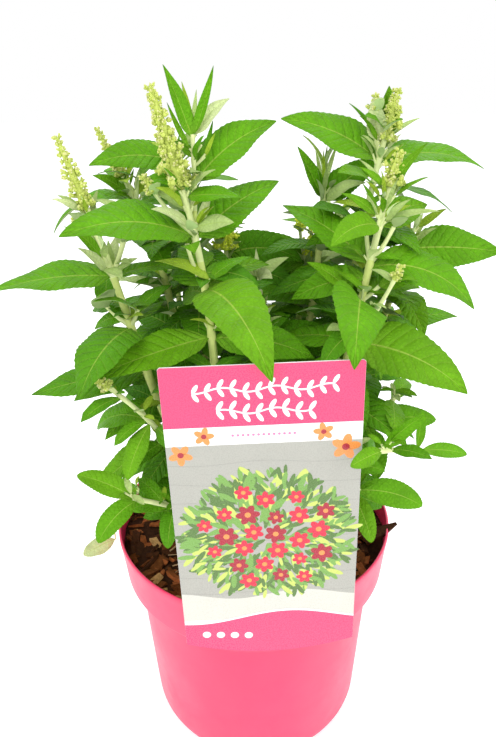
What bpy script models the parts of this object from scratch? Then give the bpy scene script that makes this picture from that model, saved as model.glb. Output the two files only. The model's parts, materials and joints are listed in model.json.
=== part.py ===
"""A young butterfly bush in bud, standing in a pink nursery pot with its picture label.

The origin is the middle of the pot's underside, +Z is up and -Y is the front, where the
label hangs. Lengths and places in the tables are millimetres, angles are degrees, and
MM turns millimetres into Blender's metres.
"""
import math
import random
from dataclasses import dataclass, field

import bmesh
import bpy
from mathutils import Matrix, Vector
from mathutils.bvhtree import BVHTree

MM = 0.001
GAP = 0.3                       # clear space between two pieces that touch
SEED = 47

# Pot
POT_HEIGHT = 160.0
RIM_RADIUS = 95.0
COLLAR_FOOT_RADIUS = 92.3
COLLAR_DEPTH = 32.4
SHOULDER_DEPTH = 10.0
WALL_TOP_RADIUS = 84.0
BASE_RADIUS = 78.4
BASE_CORNER = 13.0
WALL = 1.6
LIP_ROUND = 0.7
CORNER_STEPS = 2
POT_SIDES = 32
DRAIN_HOLES = 6
DRAIN_RADIUS = 5.0
DRAIN_CIRCLE = 50.0

# Compost
COMPOST_TOP = 148.0
COMPOST_LUMP = 1.6
COMPOST_RINGS = (26.0, 46.0, 66.0, 82.0)
LEVEL_BAND = 1.0                # how near an edge or the level top still counts as it

# Label
LABEL_WIDTH = 96.0
LABEL_HEIGHT = 175.0
LABEL_THICKNESS = 0.8
LABEL_FOOT_SAG = 8.0
LABEL_CORNER = 2.5
LABEL_FOOT_MIDDLE = (8.3, 140.0)
LABEL_TURN = 1.3
LABEL_ROLL = 1.1
STAKE_WIDTH = 18.0
STAKE_THICKNESS = 1.2
STAKE_TOP = 206.0
STAKE_BEND = 180.0
STAKE_Y = -83.5
STAKE_ENTRY = 150.0
STAKE_TIP = 126.0
CARD_STAND_OFF = 0.45           # card back and stake middle, out from the pot's rim
STAKE_STAND_OFF = 0.7

# Crown: the short woody stem that every shoot grows from
CROWN_FOOT_RADIUS = 11.5
CROWN_WAIST_RADIUS = 7.6
CROWN_TOP_RADIUS = 5.6
CROWN_SHOULDER_RADIUS = 9.7
CROWN_TIP_RADIUS = 3.4
CROWN_TOP = 184.0
CROWN_SIDES = 10
STUB_LENGTH = 15.0
STUB_START = 1.0
STUB_RADIUS = 2.9
LOW_STUB_RADIUS = 1.9
STUB_FLARE = 1.15

# Shoots
SHOOT_SIDES = 5
BOUGH_SIDES = 6
STUB_SIDES = 5
BOUGH_FOOT_RADIUS = 2.7
MASS_FOOT_RADIUS = 2.3
SHOOT_TIP_RADIUS = 1.2
LOW_FOOT_RADIUS = 1.5
LOW_TIP_RADIUS = 0.9
LEAFLESS_FOOT = 6.0
PATH_STEPS = 48
PATH_PULL = 0.40
RING_SPACING = 19.0
FIRST_ACROSS = (0.83, 0.29, 0.11)   # any direction that no limb runs along

# Side twigs
TWIG_FOOT_RADIUS = 1.15
TWIG_TIP_RADIUS = 0.7
TWIG_SIDES = 4
TWIG_AXIL_LIFT = 1.5
TWIG_CURL = 18.0
TWIG_STEEPEST = 88.0
TWIG_BUD_SLIMNESS = 0.34
TWIG_NODES = {1: (0.97,), 2: (0.52, 0.97), 3: (0.52, 0.76, 0.97)}
TWIG_LEAF_TURN = 20.0
TWIG_LEAF_RISE = 14.0
TWIG_LEAF_DROOP = 46.0
TWIG_LEAF_LENGTHS = (0.85, 1.1)

# Leaf pairs along a shoot
FULL_SIZE_SHARE = 0.4           # leaves below this share of the shoot are full grown
LOW_LEAF_SHARE = 0.6            # and below this one they are smaller again
LOW_LEAF_LOSS = 0.22
RISE_LOSS = 1.1
LEAST_RISE = 8.0
DROOP = 42.0
DROOP_GAIN = 16.0
TURN_SPREAD = 14.0
RISE_SPREAD = 9.0
DROOP_SPREAD = 12.0
LEAF_LENGTHS = (0.86, 1.08)
INTERNODES = (0.94, 1.06)
PAIR_OFFSET = 0.6

# Leaves: widest a third of the way along, keeled below
LEAF_STATIONS = ((0.0, 0.10), (0.22, 0.90), (0.60, 0.88))
PLAIN_LEAF_STATIONS = ((0.0, 0.10), (0.40, 1.0))
LEAF_HALF_WIDTH = 0.225
LEAF_WIDTHS = (0.93, 1.07)
LIGHT_FRONT = 0.34
LIGHT_OUTWARD = 0.42
LIGHT_SPREAD = 0.22
LEAF_THICKNESS = 0.019
LEAF_LEAST_THICKNESS = 0.7
LEAF_SINK = 0.35
SPINE_STEPS = 16
LEAF_CLEARANCE = 0.55
ROOT_SHARE = 0.10               # the part of a leaf that may stand close to its stem
SECOND_TRIES = ((0, 0, 1.0), (14, 6, 1.0), (-14, 6, 1.0), (26, -10, 0.94), (-26, -10, 0.94),
                (10, 18, 0.86), (-10, 18, 0.86), (38, 10, 0.8), (-38, 10, 0.8), (0, -22, 0.78),
                (20, 30, 0.7), (-20, 30, 0.7), (0, 42, 0.62))

# Bud clusters
BUD_SIDES = 5
BUD_RING_STEP = 6.5
BUD_WAIST = 0.66
BUD_TAPER = 0.62
BUD_SINK = 1.2


@dataclass
class Pose:
    """How one leaf is held: where its midrib heads, its slope at the root and at the tip,
    its length, how far its upper side turns to the front and its share of the usual width."""
    heading: float
    rise: float
    fall: float
    length: float
    front: float = LIGHT_FRONT
    width: float = 1.0


@dataclass
class Side:
    """A side twig in the axil of one leaf: where it leaves, how it runs and what it bears."""
    pair: int
    side: int
    heading: float
    climb: float
    length: float
    pairs: int = 2
    leaf: float = 24.0
    bud: float = 0.0
    spread: float = 40.0
    posed: dict = field(default_factory=dict)


@dataclass
class Shoot:
    """One shoot from the crown to its tip.

    heading, climb and height say how it leaves the crown; tip, lean and steep where and how
    it ends. Leaf pairs are counted from 0 at the tip, the first one first_gap below it, and
    each stands square to the one above. posed holds the pose of single leaves by (pair, side).
    """
    name: str
    heading: float
    climb: float
    height: float
    tip: tuple
    lean: float
    steep: float
    bare: float
    first_gap: float
    internode: float
    phase: float
    leaf: float
    tip_leaf: float = 0.5
    bud: float = 0.0
    bud_radius: float = 4.5
    upright: float = 38.0
    posed: dict = field(default_factory=dict)
    sides: tuple = ()


SHOOTS = (
    Shoot("front_left", 203, 40, 166, (-84, -30, 376), 180, 73, 62, 38, 31, 15, 58,
          bud=38, bud_radius=4.8, upright=24, tip_leaf=0.9,
          posed={(0, 1): Pose(198, 10, -14, 64, 0.5), (0, 0): Pose(20, 24, -20, 40),
                 (1, 0): Pose(-116, 4, -56, 56, 1.0, 1.25), (1, 1): Pose(75, 20, -30, 52),
                 (2, 1): Pose(194, 2, -14, 66)},
          sides=(Side(0, 1, 160, 58, 30, 1, 20, 12), Side(0, 0, 20, 62, 34, 2, 20),
                 Side(1, 1, 178, 35, 18, 1, 38), Side(1, 0, -30, 50, 12, 1, 34))),
    Shoot("middle_left", 236, 50, 174, (-34, -28, 384), 176, 75, 58, 25, 29, 0, 66,
          bud=52, bud_radius=7.4, upright=16, tip_leaf=1.0,
          posed={(0, 1): Pose(194, 24, -24, 72, 0.5), (0, 0): Pose(22, 44, 14, 56, 0.9),
                 (1, 0): Pose(-64, 16, -44, 86, 0.6, 0.86), (1, 1): Pose(112, 20, -20, 58),
                 (2, 1): Pose(204, -4, -16, 72, 0.4, 0.8), (2, 0): Pose(-5, 8, -30, 60)},
          sides=(Side(0, 0, 84, 72, 50, 3, 40, 0, 34,
                      {(0, 1): Pose(14, 52, 14, 54, 0.9), (0, 0): Pose(200, 30, -20, 28),
                       (1, 0): Pose(-60, 58, 30, 18, 1.2), (1, 1): Pose(150, 60, 10, 16),
                       (2, 0): Pose(192, 74, 66, 36, 0.8, 0.75),
                       (2, 1): Pose(-14, 64, 74, 34, 0.8, 0.5)}),
                 Side(0, 1, 186, 40, 30, 1, 18, 11), Side(1, 1, 190, 62, 26, 1, 28))),
    Shoot("far_left", 172, 49, 168, (-76, 30, 386), 176, 64, 60, 18, 29, 10, 56,
          bud=32, bud_radius=4.4, upright=34, tip_leaf=0.8,
          posed={(0, 1): Pose(196, 26, -58, 58), (0, 0): Pose(14, 34, -10, 40)},
          sides=(Side(0, 0, -60, 60, 16, 1, 26), Side(0, 1, 210, 58, 14, 1, 24))),
    Shoot("back_middle", 108, 57, 182, (-15, 38, 338), 100, 84, 46, 16, 25, 35, 56,
          bud=15, bud_radius=4.6, upright=40, tip_leaf=0.45,
          sides=(Side(0, 0, 40, 60, 18, 1, 15, 9), Side(0, 1, 190, 66, 20, 1, 15, 9))),
    Shoot("heart", 285, 62, 184, (3, -6, 306), 60, 86, 40, 14, 23, 20, 46,
          upright=52, tip_leaf=0.55,
          posed={(0, 0): Pose(20, 52, 10, 28), (0, 1): Pose(170, 60, 20, 26)}),
    Shoot("back_right", 70, 53, 175, (40, 46, 332), 40, 84, 48, 8, 26, -5, 54,
          bud=20, bud_radius=3.6, upright=30, tip_leaf=0.9,
          posed={(0, 1): Pose(176, 26, 2, 54)},
          sides=(Side(0, 1, 150, 66, 24, 1, 16, 10), Side(0, 0, 20, 64, 26, 1, 18))),
    Shoot("front_right", -32, 42, 168, (74, -25, 383), 28, 74, 60, 20, 21, 65, 64,
          bud=20, bud_radius=6.0, upright=16, tip_leaf=0.6,
          posed={(0, 1): Pose(-146, 18, -42, 36), (0, 0): Pose(40, 30, -10, 44),
                 (1, 1): Pose(146, 42, 12, 62, 0.8), (1, 0): Pose(-14, 16, -56, 64, 0.5, 0.92),
                 (2, 1): Pose(-102, 34, -46, 80, 0.7, 0.76), (2, 0): Pose(76, 10, -30, 54),
                 (3, 0): Pose(-16, 2, -44, 72, 0.5), (3, 1): Pose(146, 4, -30, 56),
                 (4, 1): Pose(-80, -20, -60, 44)},
          sides=(Side(2, 1, 176, 32, 12, 1, 26), Side(2, 0, 2, 30, 12, 1, 28),
                 Side(3, 0, -34, 50, 42, 2, 14, 9),
                 Side(1, 1, 120, 68, 24, 1, 15), Side(1, 0, 12, 48, 22, 1, 15))),
    Shoot("tall_right", 12, 47, 174, (78, 15, 404), 0, 78, 66, 11, 33, -5, 62,
          bud=28, bud_radius=6.2, upright=18, tip_leaf=0.95,
          posed={(0, 1): Pose(172, 40, 4, 62, 0.9), (0, 0): Pose(-4, 22, -30, 62, 0.8)},
          sides=(Side(0, 1, 200, 70, 26, 1, 16, 9),
                 Side(0, 0, -60, 72, 16, 1, 20, 0, 40, {(0, 0): Pose(-110, 78, 62, 24, 2.0)}))),
    Shoot("inner_right", 33, 58, 183, (46, 26, 380), 60, 86, 52, 9, 30, 25, 50,
          upright=46, tip_leaf=0.75,
          posed={(0, 1): Pose(184, 70, 66, 38, 1.6), (0, 0): Pose(-4, 48, 20, 42, 1.4)},
          sides=(Side(0, 0, 80, 80, 16, 1, 24, 0, 74),)),
    Shoot("far_right", -2, 35, 161, (102, 22, 353), 20, 72, 64, 12, 28, 0, 54,
          upright=26, tip_leaf=0.95,
          posed={(0, 0): Pose(-6, 6, -10, 58, 2.2, 1.05), (0, 1): Pose(176, 40, 0, 40),
                 (1, 0): Pose(-75, 10, -50, 46, 0.8)}),
    Shoot("back_left", 140, 54, 175, (-42, 26, 402), 150, 80, 56, 9, 30, 12, 58,
          upright=34, tip_leaf=0.85,
          posed={(0, 1): Pose(206, 22, -20, 54, 1.2)}),
    Shoot("rear_left", 152, 40, 160, (-58, 78, 344), 130, 74, 50, 12, 27, 20, 58,
          upright=36, tip_leaf=0.6),
    Shoot("rear_middle", 95, 44, 166, (-4, 86, 322), 90, 76, 46, 11, 27, 0, 58,
          upright=34, tip_leaf=0.6),
    Shoot("rear_right", 50, 42, 164, (58, 78, 350), 50, 74, 52, 12, 28, -8, 58,
          upright=36, tip_leaf=0.6),
)

TWIGS = (
    Shoot("left_bud", 222, 34, 158, (-76, -62, 288), 196, 46, 22, 10, 22, 30, 44,
          bud=9, bud_radius=3.6, upright=10, tip_leaf=0.5,
          posed={(1, 0): Pose(-118, -26, -62, 34, 0.8), (1, 1): Pose(150, 10, -50, 46),
                 (0, 0): Pose(-160, 0, -40, 22), (2, 1): Pose(200, 0, -50, 48),
                 (2, 0): Pose(10, 0, -40, 32)}),
    Shoot("low_left", 238, 26, 153, (-66, -78, 228), 196, 24, 22, 3, 22, 8, 34,
          upright=14, tip_leaf=0.95,
          posed={(0, 0): Pose(-130, 10, -52, 32), (0, 1): Pose(168, 34, 4, 36),
                 (1, 1): Pose(180, 30, -40, 26), (1, 0): Pose(-94, 22, -60, 28)}),
    Shoot("low_right", -42, 40, 160, (85, -90, 263), 20, -18, 22, 2, 20, 75, 38,
          upright=20, tip_leaf=0.95,
          posed={(0, 1): Pose(20, -6, -28, 32, 0.9, 0.6), (0, 0): Pose(70, 70, 55, 20, 1.5),
                 (1, 1): Pose(214, 6, -10, 22, 1.4), (1, 0): Pose(-10, 60, 40, 28, 1.6)}),
    Shoot("rim_right", -60, 26, 151, (60, -68, 224), -20, 20, 22, 4, 18, 50, 42,
          upright=4, tip_leaf=0.9,
          posed={(0, 1): Pose(-2, 8, -38, 42, 0.9), (0, 0): Pose(-66, -24, -62, 30, 1.2),
                 (1, 1): Pose(14, -4, -40, 40), (1, 0): Pose(-120, -20, -60, 26)}),
    Shoot("side_right", -17, 32, 155, (90, -24, 262), 0, 46, 22, 6, 22, 70, 48,
          upright=16, tip_leaf=0.7,
          posed={(1, 1): Pose(6, 14, -16, 44, 0.9), (1, 0): Pose(-90, 0, -50, 40, 0.9)}),
    Shoot("rim_left", 178, 35, 151, (-103, 2, 152), 180, -80, 22, 2, 34, 80, 28,
          upright=4, tip_leaf=1.0,
          posed={(0, 0): Pose(192, -6, -24, 26, 0.9), (0, 1): Pose(110, -40, -70, 14)}),
    Shoot("rear_low_left", 160, 30, 156, (-74, 38, 242), 160, 42, 22, 6, 22, 60, 48,
          upright=18, tip_leaf=0.6),
    Shoot("rear_low_right", 78, 30, 156, (16, 78, 240), 80, 40, 22, 6, 22, 70, 48,
          upright=18, tip_leaf=0.6),
)


def direction(heading, climb):
    """A unit vector: heading is measured from +X towards +Y, climb is up from level."""
    level = math.cos(math.radians(climb))
    return Vector((level * math.cos(math.radians(heading)),
                   level * math.sin(math.radians(heading)),
                   math.sin(math.radians(climb))))


def paint(name, color, roughness):
    material = bpy.data.materials.new(name)
    material.use_nodes = True
    shader = material.node_tree.nodes["Principled BSDF"]
    shader.inputs["Base Color"].default_value = (*color, 1.0)
    shader.inputs["Roughness"].default_value = roughness
    shader.inputs["Metallic"].default_value = 0.0
    return material


def add_object(name, bm, material):
    """A linked object from a bmesh in millimetres, with its faces turned outwards."""
    bmesh.ops.recalc_face_normals(bm, faces=bm.faces)
    bmesh.ops.scale(bm, vec=(MM, MM, MM), verts=bm.verts)
    mesh = bpy.data.meshes.new(name)
    bm.to_mesh(mesh)
    bm.free()
    mesh.materials.append(material)
    piece = bpy.data.objects.new(name, mesh)
    bpy.context.scene.collection.objects.link(piece)
    return piece


def apply_modifiers(piece):
    depsgraph = bpy.context.evaluated_depsgraph_get()
    finished = bpy.data.meshes.new_from_object(piece.evaluated_get(depsgraph))
    piece.modifiers.clear()
    piece.data = finished


def remove_objects(pieces):
    for piece in pieces:
        bpy.data.objects.remove(piece)


def boolean(piece, operation, operands, solver="EXACT"):
    """Join or cut piece by all of the operands at once, and remove them."""
    group = bpy.data.collections.new(piece.name + "_operands")
    bpy.context.scene.collection.children.link(group)
    for operand in operands:
        group.objects.link(operand)
        bpy.context.scene.collection.objects.unlink(operand)
    modifier = piece.modifiers.new(operation.title(), "BOOLEAN")
    modifier.operation = operation
    modifier.operand_type = "COLLECTION"
    modifier.collection = group
    modifier.solver = solver
    apply_modifiers(piece)
    remove_objects(operands)
    bpy.data.collections.remove(group)


def drop_scraps(piece):
    """Keep the largest connected part of a joined mesh."""
    bm = bmesh.new()
    bm.from_mesh(piece.data)
    bmesh.ops.triangulate(bm, faces=bm.faces)
    left = set(bm.verts)
    parts = []
    while left:
        start = left.pop()
        part = {start}
        front = [start]
        while front:
            for edge in front.pop().link_edges:
                for vert in edge.verts:
                    if vert in left:
                        left.remove(vert)
                        part.add(vert)
                        front.append(vert)
        parts.append(part)
    parts.sort(key=len)
    for part in parts[:-1]:
        bmesh.ops.delete(bm, geom=list(part), context="VERTS")
    bm.to_mesh(piece.data)
    bm.free()


def shade(piece, angle=35.0):
    piece.data.shade_smooth()
    piece.data.set_sharp_from_angle(angle=math.radians(angle))


def turned(profile, sides):
    """A solid of revolution about Z from a profile that starts and ends on the axis."""
    bm = bmesh.new()
    points = [bm.verts.new((radius, 0.0, z)) for radius, z in profile]
    edges = [bm.edges.new(pair) for pair in zip(points, points[1:])]
    bmesh.ops.spin(bm, geom=points + edges, cent=(0, 0, 0), axis=(0, 0, 1),
                   angle=math.tau, steps=sides, use_merge=True)
    bmesh.ops.remove_doubles(bm, verts=bm.verts, dist=0.01)
    return bm


def pot_outline():
    """The pot's outer side from the underside to the lip."""
    corner = [(BASE_RADIUS - BASE_CORNER + BASE_CORNER * math.sin(angle),
               BASE_CORNER - BASE_CORNER * math.cos(angle))
              for angle in [math.radians(90 * step / CORNER_STEPS)
                            for step in range(CORNER_STEPS + 1)]]
    collar_foot = POT_HEIGHT - COLLAR_DEPTH
    return corner + [(WALL_TOP_RADIUS, collar_foot - SHOULDER_DEPTH),
                     (COLLAR_FOOT_RADIUS, collar_foot),
                     (RIM_RADIUS, POT_HEIGHT - LIP_ROUND),
                     (RIM_RADIUS - LIP_ROUND, POT_HEIGHT)]


def pot_lining(clear=0.0):
    """The pot's inner side from the middle of the floor up, clear of the wall by clear."""
    thick = WALL + clear
    corner = [(BASE_RADIUS - BASE_CORNER + (BASE_CORNER - thick) * math.sin(angle),
               BASE_CORNER - (BASE_CORNER - thick) * math.cos(angle))
              for angle in [math.radians(90 * step / CORNER_STEPS)
                            for step in range(CORNER_STEPS + 1)]]
    collar_foot = POT_HEIGHT - COLLAR_DEPTH
    return corner + [(WALL_TOP_RADIUS - thick, collar_foot - SHOULDER_DEPTH),
                     (COLLAR_FOOT_RADIUS - thick, collar_foot),
                     (RIM_RADIUS - thick, POT_HEIGHT - LIP_ROUND)]


def make_pot(material):
    """A thin-walled round nursery pot with a deep collar and drain holes in its floor."""
    outside = [(0.0, 0.0)] + pot_outline()
    inside = pot_lining()[::-1] + [(0.0, WALL)]
    pot = add_object("pot", turned(outside + inside, POT_SIDES), material)
    cutters = []
    for hole in range(DRAIN_HOLES):
        place = DRAIN_CIRCLE * direction(360 * (hole + 0.5) / DRAIN_HOLES, 0)
        bm = bmesh.new()
        bmesh.ops.create_cone(bm, cap_ends=True, segments=8, radius1=DRAIN_RADIUS,
                              radius2=DRAIN_RADIUS, depth=4 * WALL,
                              matrix=Matrix.Translation(place))
        cutters.append(add_object("drain_cutter", bm, material))
    boolean(pot, "DIFFERENCE", cutters)
    shade(pot)
    return pot


def lining_radius(z):
    """How far the compost reaches at height z in the collar."""
    lining = pot_lining(GAP)
    (low_radius, low_z), (high_radius, high_z) = lining[-2], lining[-1]
    return low_radius + (high_radius - low_radius) * (z - low_z) / (high_z - low_z)


def make_compost(material):
    """The compost that fills the pot: lumpy on top, level round the crown, slit for the stake."""
    rng = random.Random(SEED)
    edge = lining_radius(COMPOST_TOP)
    side = [point for point in pot_lining(GAP) if point[1] < COMPOST_TOP]
    rings = [(radius, COMPOST_TOP) for radius in COMPOST_RINGS[::-1]]
    bm = turned([(0.0, WALL + GAP)] + side + [(edge, COMPOST_TOP)] + rings
                + [(0.0, COMPOST_TOP)], POT_SIDES)
    for vert in bm.verts:
        reach = math.hypot(vert.co.x, vert.co.y)
        lumpy = COMPOST_RINGS[0] + LEVEL_BAND < reach < edge - LEVEL_BAND
        if lumpy and abs(vert.co.z - COMPOST_TOP) < LEVEL_BAND:
            vert.co.z += rng.uniform(-COMPOST_LUMP, COMPOST_LUMP)
    compost = add_object("compost", bm, material)
    bm = bmesh.new()
    bmesh.ops.create_cube(bm, size=1.0)
    bmesh.ops.scale(bm, verts=bm.verts, vec=(STAKE_WIDTH + 2 * GAP, STAKE_THICKNESS + 2 * GAP,
                                             2 * (COMPOST_TOP - STAKE_TIP + GAP)))
    bmesh.ops.translate(bm, verts=bm.verts, vec=(LABEL_FOOT_MIDDLE[0], STAKE_Y, COMPOST_TOP))
    boolean(compost, "DIFFERENCE", [add_object("slit_cutter", bm, material)])
    shade(compost, 60)
    return compost


def label_outline():
    """The card's outline in its own plane, from the bottom left corner round to the left."""
    half = LABEL_WIDTH / 2
    top = LABEL_HEIGHT
    foot = []
    for step in range(9):
        across = step / 4 - 1
        foot.append((half * across, -LABEL_FOOT_SAG * (1 - across * across)))
    shoulders = [(half, top - LABEL_CORNER), (half - LABEL_CORNER, top),
                 (LABEL_CORNER - half, top), (-half, top - LABEL_CORNER)]
    return foot + shoulders


def make_label(material):
    """A flat picture card before the rim, with a stake behind it that runs into the compost."""
    bm = bmesh.new()
    card = bm.faces.new([bm.verts.new((x, 0.0, z)) for x, z in label_outline()])
    front = bmesh.ops.extrude_face_region(bm, geom=[card])["geom"]
    moved = [item for item in front if isinstance(item, bmesh.types.BMVert)]
    bmesh.ops.translate(bm, verts=moved, vec=(0, -LABEL_THICKNESS, 0))
    turn = Matrix.Rotation(math.radians(LABEL_TURN), 4, "Z")
    roll = Matrix.Rotation(math.radians(-LABEL_ROLL), 4, "Y")
    place = Matrix.Translation((LABEL_FOOT_MIDDLE[0], -RIM_RADIUS - CARD_STAND_OFF,
                                LABEL_FOOT_MIDDLE[1]))
    bmesh.ops.transform(bm, matrix=place @ turn @ roll, verts=bm.verts)
    label = add_object("label_card", bm, material)
    face = -RIM_RADIUS - STAKE_STAND_OFF
    line = [(face, STAKE_TOP), (face, STAKE_BEND), (STAKE_Y, STAKE_ENTRY), (STAKE_Y, STAKE_TIP)]
    bm = bmesh.new()
    half = STAKE_THICKNESS / 2
    left = LABEL_FOOT_MIDDLE[0] - STAKE_WIDTH / 2
    behind = [(left, y + half, z) for y, z in line]
    before = [(left, y - half, z) for y, z in line[::-1]]
    strip = bm.faces.new([bm.verts.new(point) for point in before + behind])
    sweep = bmesh.ops.extrude_face_region(bm, geom=[strip])["geom"]
    moved = [item for item in sweep if isinstance(item, bmesh.types.BMVert)]
    bmesh.ops.translate(bm, verts=moved, vec=(STAKE_WIDTH, 0, 0))
    boolean(label, "UNION", [add_object("stake", bm, material)])
    return label


class Path:
    """A smooth curve from a start to an end, measured along its length in millimetres."""

    def __init__(self, start, leave, end, arrive):
        """leave and arrive are the directions of the curve at its two ends."""
        span = (end - start).length
        first = start + leave * span * PATH_PULL
        second = end - arrive * span * PATH_PULL
        self.points = []
        self.marks = [0.0]
        for step in range(PATH_STEPS + 1):
            t = step / PATH_STEPS
            self.points.append(start * (1 - t) ** 3 + first * 3 * t * (1 - t) ** 2
                               + second * 3 * t * t * (1 - t) + end * t ** 3)
        for low, high in zip(self.points, self.points[1:]):
            self.marks.append(self.marks[-1] + (high - low).length)
        self.length = self.marks[-1]

    def at(self, distance):
        for step in range(PATH_STEPS):
            if distance <= self.marks[step + 1] or step == PATH_STEPS - 1:
                span = self.marks[step + 1] - self.marks[step]
                share = (distance - self.marks[step]) / span
                return self.points[step].lerp(self.points[step + 1], share)

    def heading(self, distance):
        reach = self.length / PATH_STEPS
        low = max(0.0, distance - reach)
        high = min(self.length, distance + reach)
        return (self.at(high) - self.at(low)).normalized()


def round_loop(bm, middle, across, beside, radius, sides):
    """A ring of points about a middle, in the plane of the two directions."""
    turns = [math.tau * side / sides for side in range(sides)]
    return [bm.verts.new(middle + radius * (across * math.cos(turn) + beside * math.sin(turn)))
            for turn in turns]


def bridge(bm, loops):
    """Quads from each loop to the next one."""
    count = len(loops[0])
    for low, high in zip(loops, loops[1:]):
        for side in range(count):
            after = (side + 1) % count
            bm.faces.new((low[side], low[after], high[after], high[side]))


def tube(path, start, end, start_radius, end_radius, sides):
    """A tapering limb along a stretch of a path, with flat ends square to it."""
    rings = max(1, round((end - start) / RING_SPACING))
    bm = bmesh.new()
    across = Vector(FIRST_ACROSS)
    loops = []
    for ring in range(rings + 1):
        share = ring / rings
        middle = path.at(start + (end - start) * share)
        along = path.heading(start + (end - start) * share)
        across = (across - along * across.dot(along)).normalized()
        radius = start_radius + (end_radius - start_radius) * share
        loops.append(round_loop(bm, middle, across, along.cross(across), radius, sides))
    bridge(bm, loops)
    bm.faces.new(loops[0][::-1])
    bm.faces.new(loops[-1])
    bmesh.ops.triangulate(bm, faces=bm.faces)
    return bm


@dataclass
class Leaf:
    """A leaf: rise and fall are its slope at the root and at the tip, and its upper side
    turns towards the light. A plain one has fewer faces."""
    root: Vector
    heading: float
    rise: float
    fall: float
    length: float
    light: Vector
    width: float
    plain: bool

    def spine(self, share):
        """Midrib point, sideways axis and upward axis at a share of the length."""
        place = self.root.copy()
        steps = max(1, round(SPINE_STEPS * share))
        for step in range(steps):
            middle = share * (step + 0.5) / steps
            place += direction(self.heading, self.slope(middle)) * self.length * share / steps
        along = direction(self.heading, self.slope(share))
        up = (self.light - along * along.dot(self.light)).normalized()
        return place, up.cross(along), up

    def slope(self, share):
        return self.rise + (self.fall - self.rise) * share


def leaf_solid(leaf, grow=0.0, skip=0.0):
    """A blade of a few faces: flat above and keeled along the midrib below. grow fattens it
    and skip leaves out its root."""
    stations = PLAIN_LEAF_STATIONS if leaf.plain else LEAF_STATIONS
    half_width = leaf.width * leaf.length
    thick = max(LEAF_LEAST_THICKNESS, LEAF_THICKNESS * leaf.length)
    bm = bmesh.new()
    loops = []
    for share, wide in stations:
        middle, across, up = leaf.spine(max(share, skip))
        side = across * (half_width * wide + grow)
        loops.append([bm.verts.new(middle + side + up * grow),
                      bm.verts.new(middle - side + up * grow),
                      bm.verts.new(middle - up * (thick + grow))])
    end = bm.verts.new(leaf.spine(1.0)[0])
    bm.faces.new(loops[0])
    for low, high in zip(loops, loops[1:]):
        for side in range(3):
            after = (side + 1) % 3
            bm.faces.new((low[after], low[side], high[side]))
            bm.faces.new((low[after], high[side], high[after]))
    for side in range(3):
        bm.faces.new((loops[-1][(side + 1) % 3], loops[-1][side], end))
    return bm


def bud_spike(start, along, length, radius):
    """A tapering spike of flower buds, waisted between its whorls."""
    rings = max(2, round(length / BUD_RING_STEP))
    across = along.orthogonal().normalized()
    bm = bmesh.new()
    loops = []
    for ring in range(2 * rings):
        share = (ring + 0.5) / (2 * rings)
        swell = radius * (1.0 - BUD_TAPER * share) * (1.0 if ring % 2 else BUD_WAIST)
        middle = start + along * length * share
        loops.append(round_loop(bm, middle, across, along.cross(across), swell, BUD_SIDES))
    bridge(bm, loops)
    foot = bm.verts.new(start - along * BUD_SINK)
    top = bm.verts.new(start + along * length)
    for side in range(BUD_SIDES):
        after = (side + 1) % BUD_SIDES
        bm.faces.new((loops[0][after], loops[0][side], foot))
        bm.faces.new((loops[-1][side], loops[-1][after], top))
    bmesh.ops.triangulate(bm, faces=bm.faces)
    return bm


class Space:
    """Remembers what is already grown, so that a leaf that would touch it can be left out."""

    def __init__(self):
        self.taken = []

    def add(self, owner, whole, beyond_root=None):
        """Take up a piece's space. beyond_root is a blade without its root, for the tests
        against its own mass; a limb has none, because its own leaves are rooted in it."""
        own = BVHTree.FromBMesh(beyond_root) if beyond_root else None
        self.taken.append((owner, BVHTree.FromBMesh(whole), own, *bounds(whole)))

    def free(self, owner, whole, beyond_root):
        """Whether a fattened blade is clear of other pieces and of blades in its own mass."""
        tree, own_tree = BVHTree.FromBMesh(whole), BVHTree.FromBMesh(beyond_root)
        low, high = bounds(whole)
        for other, other_tree, other_own, other_low, other_high in self.taken:
            if any(low[axis] > other_high[axis] or high[axis] < other_low[axis]
                   for axis in range(3)):
                continue
            if other != owner and tree.overlap(other_tree):
                return False
            if other == owner and other_own and own_tree.overlap(other_own):
                return False
        return True


def bounds(bm):
    low = [min(vert.co[axis] for vert in bm.verts) for axis in range(3)]
    high = [max(vert.co[axis] for vert in bm.verts) for axis in range(3)]
    return low, high


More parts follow.
